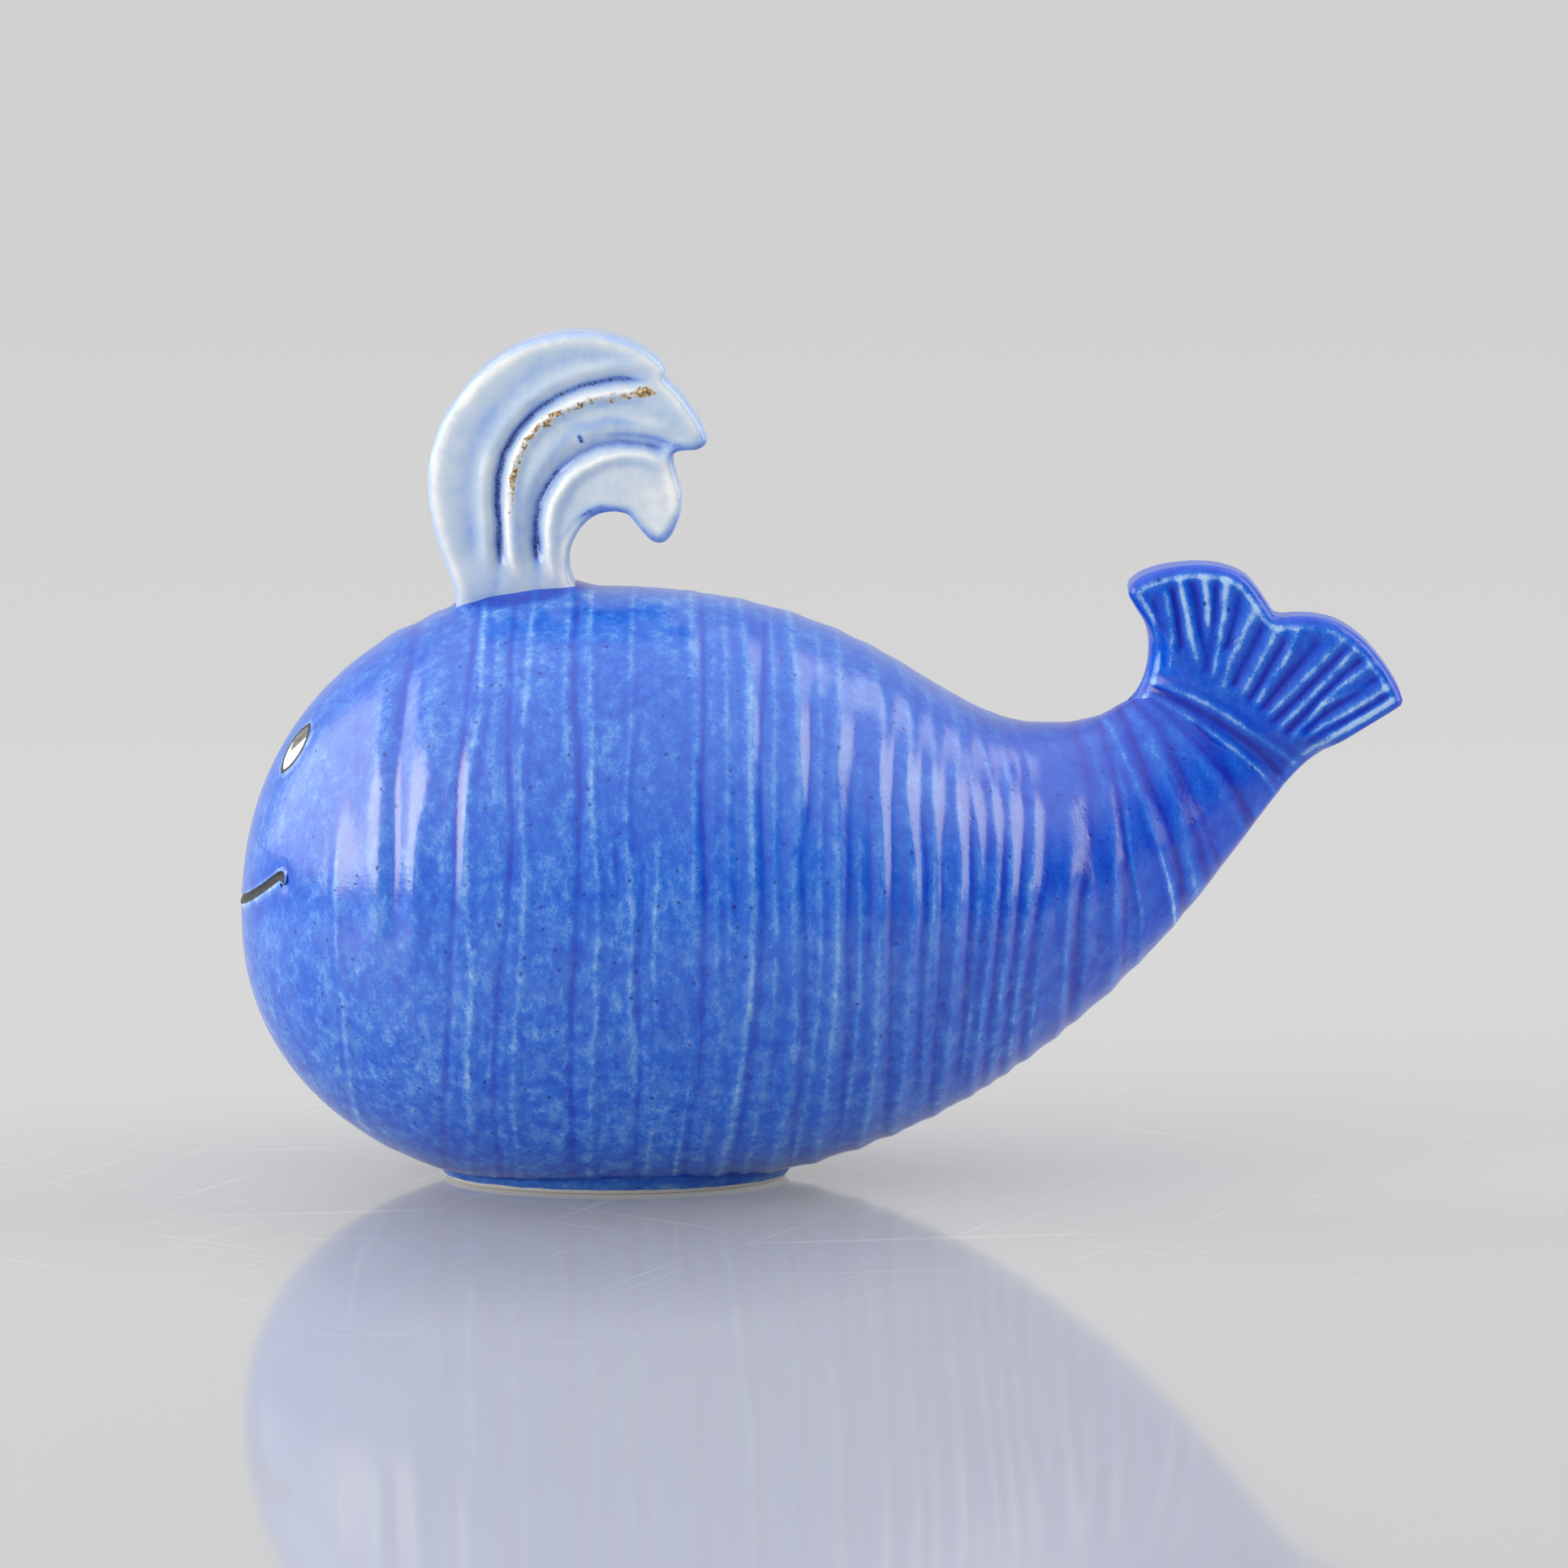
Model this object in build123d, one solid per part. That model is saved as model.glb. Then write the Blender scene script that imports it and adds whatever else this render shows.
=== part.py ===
from build123d import *
import os
from math import atan, cos, degrees, pi, radians, sin

# A hollow stoneware whale: a cast body with a luted foot ring, water plume and tail fluke,
# and enamel eyes and mouth fired into shallow recesses.
# Millimetres. The origin is the middle of the foot on the table, +Z is up and the nose points along -X.
# The whale is symmetric about the mid-plane y = 0, and its left side is -Y.

# Head, from the nose back to the crown station, where the body is tallest and widest
CROWN_X = -3.1
HEAD_LENGTH = 48.5
HEAD_FULLNESS = 2.16
NOSE_HEIGHT = 36.9
CROWN_HEIGHT = 82.2
BELLY_DROP = 1.65
BODY_WIDTH = 74.0
WALL = 4.0

# Back and belly, from the crown station to the root of the fluke
BACK_HANDLE = 40.6
NECK_HANDLE = 15.7
NECK_REACH = 62.0
NECK_HEIGHT = 63.2
BELLY_HANDLE = 50.5
TAIL_HANDLE = 36.3
TAIL_ANGLE = 51.7
TAIL_SWELL = 1.2
NECK_HOLLOW = 0.66  # how far the hollow behind the neck follows its square corner

# Root of the fluke: its middle, measured from the crown station and the table, its size and its lean
ROOT_REACH = 85.8
ROOT_HEIGHT = 63.0
ROOT_WIDTH = 27.4
ROOT_THICKNESS = 10.6
ROOT_ANGLE = 56.7

# Stations where the body's ovals are drawn: -1 on the nose, 0 on the crown, 1 on the root
HEAD_STATIONS = [-0.92, -0.82, -0.7, -0.56, -0.4, -0.22]
REAR_STATIONS = [0.0, 0.12, 0.24, 0.36, 0.48, 0.6, 0.72, 0.8, 0.88, 0.94, 1.0]
NECK_STATION = 0.72
CAVITY_END = 0.72
HEAD_END = 0.36

# Foot ring, the plug that closes the pouring hole, and the slip between luted pieces
FOOT_LENGTH = 49.6
FOOT_WIDTH = 32.0
FOOT_WALL = 4.0
FOOT_ROUNDING = 0.6
SEAT_HEIGHT = 1.0
FOOT_RECESS = 2.0
POUR_HOLE = 16.0
VENT_HOLE = 4.0
LUTE_GAP = 0.15

# Water plume, a plate in the mid-plane; its points are measured from the crown
PLUME_THICKNESS = 9.0
PLUME_SEAT_DEPTH = 1.5
PLUME_ROUNDING = 1.0
PLUME_HEEL = (-15.5, -11.8)
PLUME_CORNERS = [  # each corner of the outline, and the radius that rounds it
    ((-25.6, 22.0), 19.9),
    ((-5.9, 38.3), 19.9),
    ((10.5, 31.5), 1.4),
    ((8.5, 28.9), 0.7),
    ((13.8, 25.4), 8.0),
    ((16.5, 19.0), 1.4),
    ((10.5, 18.8), 0.7),
    ((12.5, 12.4), 8.0),
    ((9.9, 3.8), 1.9),
    ((5.2, 11.4), 5.1),
    ((-2.9, 9.9), 5.1),
    ((-3.3, 2.7), 2.0),
]
PLUME_TOE = (4.5, -7.9)
GROOVE_DEPTH = 1.1
GROOVE_START = 62.0
GROOVE_TURN = 145.0
FIRST_GROOVE_CENTRE = (2.2, 13.0)
FIRST_GROOVE_RADIUS = 15.4
SECOND_GROOVE_CENTRE = (3.8, 8.0)
SECOND_GROOVE_RADIUS = 11.7

# Tail fluke, a plate in the mid-plane; its points are measured from the root, along and across its axis
FLUKE_EDGE_THICKNESS = 6.5
FLUKE_REACH = 22.0
FLUKE_SHOULDER = 0.7
FLUKE_ROUNDING = 1.0
FLUKE_CORNERS = [  # from the top of the root round the upper and the lower lobe
    ((5.2, 13.6), 5.0),
    ((9.3, 21.9), 1.8),
    ((18.4, 15.0), 6.0),
    ((19.9, 7.2), 4.0),
    ((17.0, 0.9), 0.8),
    ((21.6, -5.4), 8.0),
    ((21.0, -11.8), 8.0),
    ((17.2, -19.8), 1.4),
]
RAY_COUNT = 7
RAY_SPREAD = 66.0
RAY_ORIGIN = 22.0
RAY_START = 4.0
RAY_DEPTH = 0.7
TENON_LENGTH = 8.0
TENON_WIDTH = 12.0
TENON_THICKNESS = 4.0

# Enamel eyes and mouth
ENAMEL_DEPTH = 0.6
EYE_STATION = -0.62
EYE_AROUND = 24.5
EYE_HEIGHT = 8.0
EYE_WIDTH = 5.1
EYE_LINE = 0.5
PUPIL_RADIUS = 2.1
PUPIL_SHIFT = -0.5
PUPIL_RISE = 1.75
MOUTH_LIFT = 2.4
MOUTH_LENGTH = 6.2
MOUTH_RISE = 6.0
MOUTH_LINE = 0.7
MOUTH_TICK = (0.5, -1.2)

# Places that follow from those sizes
NOSE_X = CROWN_X - HEAD_LENGTH
BELLY_Z = -BELLY_DROP
CROWN = Vector(CROWN_X, 0, CROWN_HEIGHT)
NECK = Vector(CROWN_X + NECK_REACH, 0, NECK_HEIGHT)
ROOT_AXIS = Vector(cos(radians(ROOT_ANGLE)), 0, sin(radians(ROOT_ANGLE)))
ROOT_UP = Vector(-sin(radians(ROOT_ANGLE)), 0, cos(radians(ROOT_ANGLE)))
ROOT_CENTRE = Vector(CROWN_X + ROOT_REACH, 0, ROOT_HEIGHT)
ROOT_PLANE = Plane(origin=ROOT_CENTRE, x_dir=ROOT_AXIS, z_dir=(0, -1, 0))
ROOT_TOP = ROOT_CENTRE + ROOT_UP * (ROOT_WIDTH / 2)
ROOT_BOTTOM = ROOT_CENTRE - ROOT_UP * (ROOT_WIDTH / 2)
FLOOR_Z = FOOT_RECESS + WALL
MOUTH_Z = NOSE_HEIGHT + MOUTH_LIFT
LEFT = Vector(0, -1, 0)
BEYOND = 4 * HEAD_LENGTH  # past every side of the whale
SMALL_STEP = 0.01  # along a station or round an oval, to feel how the skin slopes
NEAR = 0.1  # lengths closer than this count as equal


def bezier(points, share):
    """The point at this share of the curve that the control points steer."""
    while len(points) > 1:
        points = [a + (b - a) * share for a, b in zip(points, points[1:])]
    return points[0]


def back_point(share):
    """A point on the top line, from the crown at 0 over the neck to the root at 1."""
    if share <= NECK_STATION:
        handles = [CROWN + Vector(BACK_HANDLE, 0, 0), NECK - Vector(NECK_HANDLE, 0, 0)]
        return bezier([CROWN, *handles, NECK], share / NECK_STATION)
    climb = (ROOT_TOP - NECK) * NECK_HOLLOW
    handles = [NECK + Vector(climb.X, 0, 0), ROOT_TOP - Vector(0, 0, climb.Z)]
    return bezier([NECK, *handles, ROOT_TOP], (share - NECK_STATION) / (1 - NECK_STATION))


def belly_point(share):
    """A point on the bottom line, from under the crown at 0 to the root at 1."""
    start = Vector(CROWN_X, 0, BELLY_Z)
    lean = Vector(cos(radians(TAIL_ANGLE)), 0, sin(radians(TAIL_ANGLE)))
    handles = [start + Vector(BELLY_HANDLE, 0, 0), ROOT_BOTTOM - lean * TAIL_HANDLE]
    return bezier([start, *handles, ROOT_BOTTOM], share)


def section(station, inset=0.0):
    """Top point, bottom point and half width of the body at a station, drawn in by inset."""
    if station <= 0:
        angle = (1 + station) * pi / 2
        fore = cos(angle) ** (2 / HEAD_FULLNESS)
        girth = sin(angle) ** (2 / HEAD_FULLNESS)
        x = CROWN_X - (HEAD_LENGTH - inset) * fore
        top = NOSE_HEIGHT + (CROWN_HEIGHT - NOSE_HEIGHT - inset) * girth
        bottom = NOSE_HEIGHT - (NOSE_HEIGHT - BELLY_Z - inset) * girth
        return Vector(x, 0, top), Vector(x, 0, bottom), (BODY_WIDTH / 2 - inset) * girth
    top = back_point(station)
    bottom = belly_point(station)
    inward = (bottom - top).normalized() * inset
    taper = (1 - station**2) ** TAIL_SWELL
    half_width = ROOT_THICKNESS / 2 + (BODY_WIDTH - ROOT_THICKNESS) / 2 * taper - inset
    return top + inward, bottom - inward, half_width


def section_face(station, inset=0.0):
    """The oval that the body has at a station."""
    top, bottom, half_width = section(station, inset)
    up = (top - bottom).normalized()
    half_height = (top - bottom).length / 2
    plane = Plane(origin=(top + bottom) / 2, x_dir=up, z_dir=LEFT.cross(up))
    left = EllipticalCenterArc((0, 0), half_height, half_width, 0, arc_size=180)
    right = EllipticalCenterArc((0, 0), half_height, half_width, 180, arc_size=180)
    return plane * make_face([left, right])


def body_form(inset=0.0, end=1.0):
    """A solid of the body, drawn in by inset all round, from the nose to the station named end."""
    nose = Vertex(NOSE_X + inset, 0, NOSE_HEIGHT)
    stations = HEAD_STATIONS + [s for s in REAR_STATIONS if s < end] + [end]
    return loft([nose] + [section_face(s, inset) for s in stations])


def skin_point(station, around):
    """A point on the body's left side, at an angle round the oval from its top."""
    top, bottom, half_width = section(station)
    half_up = (top - bottom) / 2
    return (top + bottom) / 2 + half_up * cos(around) + LEFT * (half_width * sin(around))


def all_below(height):
    """A block that holds everything under this height."""
    return Pos(0, 0, height) * Box(BEYOND, BEYOND, BEYOND, align=(Align.CENTER, Align.CENTER, Align.MAX))


def oval_post(shrink, height):
    """An upright oval post on the table, with the foot's outline drawn in by shrink."""
    return extrude(Ellipse(FOOT_LENGTH / 2 - shrink, FOOT_WIDTH / 2 - shrink), height)


def foot_ring(standing_body):
    """The ring under the belly: its top takes the belly's shape, and its lower edges are rounded."""
    ring = oval_post(0, FLOOR_Z) - oval_post(FOOT_WALL, FLOOR_Z)
    ring = fillet(ring.edges().group_by(Axis.Z)[0], FOOT_ROUNDING)
    return ring - standing_body


def base_plug():
    """The clay plug in the pouring hole, with a vent so that the hollow body can be fired."""
    plug = Cylinder(POUR_HOLE / 2 - LUTE_GAP, WALL) - Cylinder(VENT_HOLE / 2, WALL)
    return Pos(0, 0, FOOT_RECESS + WALL / 2) * plug


def rounded_plate(start, corners, end, thickness):
    """A plate in its own plane, from start round the corners to end, each corner with its own radius."""
    points = [start] + [corner for corner, radius in corners] + [end]
    radii = [radius for corner, radius in corners]
    outline = FilletPolyline(*points, radius=radii) + Line(end, start)
    return extrude(make_face(outline), thickness / 2, both=True)


def ring_groove(centre, radius):
    """A round groove that runs on a circle, on both faces of the plume."""
    groove = revolve(Plane.XZ * Pos(radius, 0) * Circle(GROOVE_DEPTH), Axis.Z, GROOVE_TURN)
    faces = [PLUME_THICKNESS / 2, -PLUME_THICKNESS / 2]
    return [Pos(centre[0], centre[1], face) * Rot(0, 0, GROOVE_START) * groove for face in faces]


def water_plume(seat):
    """The three-tongued plume, let a little way into the crown."""
    plate = rounded_plate(PLUME_HEEL, PLUME_CORNERS, PLUME_TOE, PLUME_THICKNESS)
    hidden = Line(PLUME_TOE, PLUME_HEEL).length
    edges = plate.faces().filter_by(Axis.Z).edges()
    rims = [edge for edge in edges if abs(edge.length - hidden) > NEAR]
    plate = fillet(rims, PLUME_ROUNDING)
    plate -= ring_groove(FIRST_GROOVE_CENTRE, FIRST_GROOVE_RADIUS)
    plate -= ring_groove(SECOND_GROOVE_CENTRE, SECOND_GROOVE_RADIUS)
    plane = Plane(origin=CROWN, x_dir=(1, 0, 0), z_dir=LEFT)
    return plane * plate - seat


def fluke_blank():
    """The fluke before carving: its outline, thinning from the root to the edge, with rounded rims."""
    half_root = ROOT_THICKNESS / 2
    half_edge = FLUKE_EDGE_THICKNESS / 2
    near_edge = (FLUKE_REACH, half_edge)
    far_edge = (FLUKE_REACH, -half_edge)
    profile = Polyline((LUTE_GAP, -half_root), far_edge, near_edge, (LUTE_GAP, half_root), close=True)
    wedge = extrude(Plane.XZ * make_face(profile), BEYOND, both=True)
    half_width = ROOT_WIDTH / 2 - FLUKE_SHOULDER
    plate = rounded_plate((0, half_width), FLUKE_CORNERS, (0, -half_width), ROOT_THICKNESS) & wedge
    faces = plate.faces().sort_by(Axis.Z)
    edges = faces[0].edges() + faces[-1].edges()
    rims = [edge for edge in edges if edge.center().X > FLUKE_ROUNDING]
    return fillet(rims, FLUKE_ROUNDING)


def fluke_tenon(gap=0.0):
    """The tongue that holds the fluke, half in the fluke and half in the tail, grown by gap all round."""
    return ROOT_PLANE * Box(2 * (TENON_LENGTH + gap), TENON_WIDTH + 2 * gap, TENON_THICKNESS + 2 * gap)


def tail_fluke():
    """The two-lobed fluke, with rays carved on both faces and a tenon into the tail."""
    plate = fluke_blank()
    slope = (ROOT_THICKNESS - FLUKE_EDGE_THICKNESS) / 2 / FLUKE_REACH
    height = ROOT_THICKNESS / 2 + slope * RAY_ORIGIN
    cutter = Cylinder(RAY_DEPTH, FLUKE_REACH + RAY_ORIGIN, align=(Align.CENTER, Align.CENTER, Align.MIN))
    ray = Pos(RAY_ORIGIN + RAY_START, 0, 0) * Rot(0, 90, 0) * cutter
    for step in range(RAY_COUNT):
        turn = RAY_SPREAD * (step / (RAY_COUNT - 1) - 0.5)
        for side in (1, -1):
            tilt = Rot(0, 0, turn) * Rot(0, side * degrees(atan(slope)), 0)
            plate -= Pos(-RAY_ORIGIN, 0, side * height) * tilt * ray
    return ROOT_PLANE * plate + fluke_tenon()


def almond(height, width):
    """An upright almond, pointed at both ends."""
    tip = (0, height / 2)
    tail = (0, -height / 2)
    return make_face([ThreePointArc(tip, (-width / 2, 0), tail), ThreePointArc(tail, (width / 2, 0), tip)])


def eye_plane():
    """The plane that touches the head at the left eye, with its x axis level and its z axis outward."""
    around = radians(EYE_AROUND)
    place = skin_point(EYE_STATION, around)
    back = skin_point(EYE_STATION + SMALL_STEP, around) - place
    down = skin_point(EYE_STATION, around + SMALL_STEP) - place
    outward = down.cross(back)
    return Plane(origin=place, x_dir=Vector(0, 0, 1).cross(outward), z_dir=outward)


def eye_post(shape):
    """A shape on the left eye's plane, run in and out through the head's skin."""
    return eye_plane() * extrude(shape, EYE_HEIGHT / 2, both=True)


def left_eye(whole):
    """The dark line, the white and the pupil that share out the whole of the left eye."""
    inside = whole & eye_post(almond(EYE_HEIGHT - 2 * EYE_LINE, EYE_WIDTH - 2 * EYE_LINE))
    pupil = inside & eye_post(Pos(PUPIL_SHIFT, PUPIL_RISE) * Circle(PUPIL_RADIUS))
    return whole - inside, inside - pupil, pupil


def mouth_band():
    """The line of the mouth, run across the whole head, with a short tick down at its corner."""
    corner = (NOSE_X + MOUTH_LENGTH, MOUTH_Z + MOUTH_RISE)
    start = (NOSE_X - MOUTH_LENGTH, MOUTH_Z - MOUTH_RISE)
    tick = (corner[0] + MOUTH_TICK[0], corner[1] + MOUTH_TICK[1])
    band = trace([Line(start, corner), Line(corner, tick)], MOUTH_LINE)
    return extrude(Plane.XZ * band, BODY_WIDTH / 2, both=True)


def body_shell(outer, cuts):
    """The hollow cast body, with its floor, its pouring hole and a recess for each piece let into it."""
    cavity = body_form(WALL, CAVITY_END) - all_below(FLOOR_Z)
    shell = outer - all_below(SEAT_HEIGHT) - cavity - oval_post(FOOT_WALL, FOOT_RECESS)
    shell -= Cylinder(POUR_HOLE / 2, 2 * FLOOR_Z)
    for cut in cuts:
        shell -= cut
    return shell


outer = body_form()
head_core = body_form(ENAMEL_DEPTH, HEAD_END)
left_eye_cut = eye_post(almond(EYE_HEIGHT, EYE_WIDTH)) - head_core
right_eye_cut = mirror(left_eye_cut, about=Plane.XZ)
mouth_cut = mouth_band() - head_core

nodes = {}
nodes["water_plume"] = water_plume(body_form(PLUME_SEAT_DEPTH, HEAD_END))
nodes["tail_fluke"] = tail_fluke()
nodes["mouth_line"] = mouth_cut & outer
eye_names = ["eye_outline", "eye_white", "eye_pupil"]
for name, piece in zip(eye_names, left_eye(left_eye_cut & outer)):
    nodes["left_" + name] = piece
    nodes["right_" + name] = mirror(piece, about=Plane.XZ)
cuts = [nodes["water_plume"], fluke_tenon(LUTE_GAP), mouth_cut, left_eye_cut, right_eye_cut]
nodes["body_shell"] = body_shell(outer, cuts)
nodes["foot_ring"] = foot_ring(outer - all_below(SEAT_HEIGHT))
nodes["base_plug"] = base_plug()

os.makedirs("parts", exist_ok=True)
for name, solid in nodes.items():
    export_step(solid, f"parts/{name}.step")
    print(name, len(solid.solids()), round(solid.volume, 1), solid.is_valid)
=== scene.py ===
from math import cos, pi, radians, sin, tan

import bpy
import numpy as np
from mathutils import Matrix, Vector
from mathutils.bvhtree import BVHTree
from mathutils.geometry import delaunay_2d_cdt


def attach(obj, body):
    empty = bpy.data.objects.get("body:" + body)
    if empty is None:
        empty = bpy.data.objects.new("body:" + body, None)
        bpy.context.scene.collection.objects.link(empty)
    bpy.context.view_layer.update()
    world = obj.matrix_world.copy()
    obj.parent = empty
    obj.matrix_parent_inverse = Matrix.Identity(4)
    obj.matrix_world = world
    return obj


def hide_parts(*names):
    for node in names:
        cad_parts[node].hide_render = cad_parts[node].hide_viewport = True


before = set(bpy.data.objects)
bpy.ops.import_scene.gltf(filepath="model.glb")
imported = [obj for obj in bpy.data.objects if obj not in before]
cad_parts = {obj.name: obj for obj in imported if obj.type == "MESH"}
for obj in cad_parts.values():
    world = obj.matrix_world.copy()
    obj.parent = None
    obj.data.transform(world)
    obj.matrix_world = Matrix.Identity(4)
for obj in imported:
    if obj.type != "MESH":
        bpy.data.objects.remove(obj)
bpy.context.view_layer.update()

# The looks of the glazed whale. Lengths are millimetres until a mesh is made.
MM = 0.001

# The view: the camera looks along +Y, a little down, from far away
VIEW_ELEVATION = radians(9)
VIEW_DISTANCE = 2000.0
PIXEL = 0.1119  # millimetres a pixel in the mid-plane, in an image 1932 pixels wide
ORIGIN_PIXEL = (758.0, 1450.0)
IMAGE_SIZE = 1932
LINE_SHARPNESS = 0.52  # how much narrower a line's tint is than its height

# Sizes of the body, as in the solids
CROWN_X = -3.1
HEAD_LENGTH = 48.5
HEAD_FULLNESS = 2.16
NOSE_HEIGHT = 36.9
CROWN_HEIGHT = 82.2
BELLY_DROP = 1.65
BODY_WIDTH = 74.0
BACK_HANDLE = 40.6
NECK_HANDLE = 15.7
NECK_REACH = 62.0
NECK_HEIGHT = 63.2
NECK_HOLLOW = 0.66
NECK_STATION = 0.72
BELLY_HANDLE = 50.5
TAIL_HANDLE = 36.3
TAIL_ANGLE = radians(51.7)
TAIL_SWELL = 1.2
ROOT_REACH = 85.8
ROOT_HEIGHT = 63.0
ROOT_WIDTH = 27.4
ROOT_THICKNESS = 10.6
ROOT_ANGLE = radians(56.7)
TAIL_TRIM = 1.1  # how much slimmer than the solid the glazed tail is below, next to the fluke
TAIL_TRIM_FROM = 0.7  # the station where that starts
TAIL_TRIM_TOP = 1.8  # the same above
TAIL_TRIM_TOP_FROM = 0.87
END_TRIM = 0.4  # and to each side at the very end, which is hidden in the fluke
END_TRIM_FROM = 0.975
FOOT_LENGTH = 49.6
FOOT_WIDTH = 32.0
FOOT_WALL = 4.0

CROWN = np.array([CROWN_X, 0, CROWN_HEIGHT])
NECK = np.array([CROWN_X + NECK_REACH, 0, NECK_HEIGHT])
ROOT_AXIS = np.array([cos(ROOT_ANGLE), 0, sin(ROOT_ANGLE)])
ROOT_UP = np.array([-sin(ROOT_ANGLE), 0, cos(ROOT_ANGLE)])
ROOT_CENTRE = np.array([CROWN_X + ROOT_REACH, 0, ROOT_HEIGHT])
ROOT_TOP = ROOT_CENTRE + ROOT_UP * ROOT_WIDTH / 2
ROOT_BOTTOM = ROOT_CENTRE - ROOT_UP * ROOT_WIDTH / 2


# Shapes of the body

def bezier(points, share):
    points = [np.asarray(point, float) for point in points]
    while len(points) > 1:
        points = [a + (b - a) * share for a, b in zip(points, points[1:])]
    return points[0]


def section(station):
    """Top point, bottom point and half width of the body: -1 on the nose, 0 on the crown, 1 on the root."""
    if station <= 0:
        angle = (1 + station) * pi / 2
        fore = cos(angle) ** (2 / HEAD_FULLNESS)
        girth = sin(angle) ** (2 / HEAD_FULLNESS)
        x = CROWN_X - HEAD_LENGTH * fore
        top = np.array([x, 0, NOSE_HEIGHT + (CROWN_HEIGHT - NOSE_HEIGHT) * girth])
        bottom = np.array([x, 0, NOSE_HEIGHT - (NOSE_HEIGHT + BELLY_DROP) * girth])
        return top, bottom, BODY_WIDTH / 2 * girth
    if station <= NECK_STATION:
        handles = [CROWN + [BACK_HANDLE, 0, 0], NECK - [NECK_HANDLE, 0, 0]]
        top = bezier([CROWN, *handles, NECK], station / NECK_STATION)
    else:
        climb = (ROOT_TOP - NECK) * NECK_HOLLOW
        handles = [NECK + [climb[0], 0, 0], ROOT_TOP - [0, 0, climb[2]]]
        top = bezier([NECK, *handles, ROOT_TOP], (station - NECK_STATION) / (1 - NECK_STATION))
    start = np.array([CROWN_X, 0, -BELLY_DROP])
    lean = np.array([cos(TAIL_ANGLE), 0, sin(TAIL_ANGLE)])
    handles = [start + [BELLY_HANDLE, 0, 0], ROOT_BOTTOM - lean * TAIL_HANDLE]
    bottom = bezier([start, *handles, ROOT_BOTTOM], station)
    bottom = bottom + ROOT_UP * TAIL_TRIM * smooth_step(TAIL_TRIM_FROM, 1.0, station)
    top = top - ROOT_UP * TAIL_TRIM_TOP * smooth_step(TAIL_TRIM_TOP_FROM, 1.0, station)
    taper = max(0.0, 1 - station ** 2) ** TAIL_SWELL
    half_width = ROOT_THICKNESS / 2 + (BODY_WIDTH - ROOT_THICKNESS) / 2 * taper
    return top, bottom, half_width - END_TRIM * smooth_step(END_TRIM_FROM, 1.0, station)


def skin_point(station, around):
    top, bottom, half_width = section(station)
    ring = (top + bottom) / 2 + (top - bottom) / 2 * cos(around)
    return ring + np.array([0, -half_width * sin(around), 0])


def photo_place(points):
    """Where points show in the photograph, in its pixels; the far side counts as its mirror image."""
    seen = points[..., 2] * cos(VIEW_ELEVATION) - np.abs(points[..., 1]) * sin(VIEW_ELEVATION)
    return np.stack([ORIGIN_PIXEL[0] + points[..., 0] / PIXEL, ORIGIN_PIXEL[1] - seen / PIXEL], axis=-1)


def line_distance(places, line):
    """Distance of each place to a polyline, and how far along it, from 0 to 1, the nearest point lies."""
    line = np.asarray(line, float)
    lengths = np.linalg.norm(np.diff(line, axis=0), axis=1)
    total = lengths.sum()
    best = np.full(places.shape[:-1], 1e9)
    along = np.zeros(places.shape[:-1])
    done = 0.0
    for a, b, length in zip(line, line[1:], lengths):
        step = (b - a) / length
        share = np.clip((places - a) @ step, 0, length)
        gap = np.linalg.norm(places - (a + share[..., None] * step), axis=-1)
        nearer = gap < best
        best = np.where(nearer, gap, best)
        along = np.where(nearer, (done + share) / total, along)
        done += length
    return best, along


def smooth_step(low, high, value):
    share = np.clip((value - low) / (high - low), 0, 1)
    return share * share * (3 - 2 * share)


def unit(vectors):
    return vectors / np.linalg.norm(vectors, axis=-1, keepdims=True)


def to_the_left(run):
    """Unit vectors that point to the left of directions in a plane."""
    return unit(np.stack([-run[:, 1], run[:, 0]], axis=1))


# How a carved line falls off to its sides, as shares of its half width
LINE_FADE = (-0.02, 0.1)  # the share of its length over which it fades in and out
TROUGH_DEPTH = 0.25  # the hollow beside a rib
TROUGH_PLACE = 2.1
TROUGH_WIDTH = 0.8
POOL_PLACE = 1.6  # the glaze that gathers beside a line
POOL_WIDTH = 0.55
POOL_BY_RIB = 0.35
POOL_BY_GROOVE = 0.1
BROAD_FROM = 900  # the pixel to the right of which lines may be broader


def carving(places, lines, broad=1.0):
    """Height and tint that carved lines add: each line is (lift, tint, half width, points)."""
    lift = np.zeros(places.shape[:-1])
    tint = np.zeros(places.shape[:-1])
    for height, shade, half_width, points in lines:
        gap, along = line_distance(places, points)
        fade = smooth_step(*LINE_FADE, along) * smooth_step(*LINE_FADE, 1 - along)
        reach = half_width * (broad if points[0][0] > BROAD_FROM else 1.0)
        hill = np.exp(-(gap / reach) ** 2) * fade
        trough = np.exp(-((gap - TROUGH_PLACE * reach) / (TROUGH_WIDTH * reach)) ** 2) * fade
        crest = np.exp(-(gap / (LINE_SHARPNESS * half_width)) ** 2) * fade
        pool = np.exp(-((gap - POOL_PLACE * half_width) / (POOL_WIDTH * half_width)) ** 2) * fade
        lift += height * (hill - TROUGH_DEPTH * trough)
        tint += shade * (crest - (POOL_BY_RIB if shade > 0 else POOL_BY_GROOVE) * pool)
    return lift, tint


# Meshes

def add_layer(mesh, name, values):
    layer = mesh.attributes.new(name, "FLOAT", "POINT")
    layer.data.foreach_set("value", np.asarray(values, np.float32).ravel())


def make_mesh(name, points, faces, attributes=None):
    mesh = bpy.data.meshes.new(name)
    mesh.from_pydata((np.asarray(points, float) * MM).tolist(), [], faces)
    for key, values in (attributes or {}).items():
        add_layer(mesh, key, values)
    mesh.validate()
    mesh.shade_smooth()
    piece = bpy.data.objects.new(name, mesh)
    bpy.context.scene.collection.objects.link(piece)
    return piece


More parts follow.
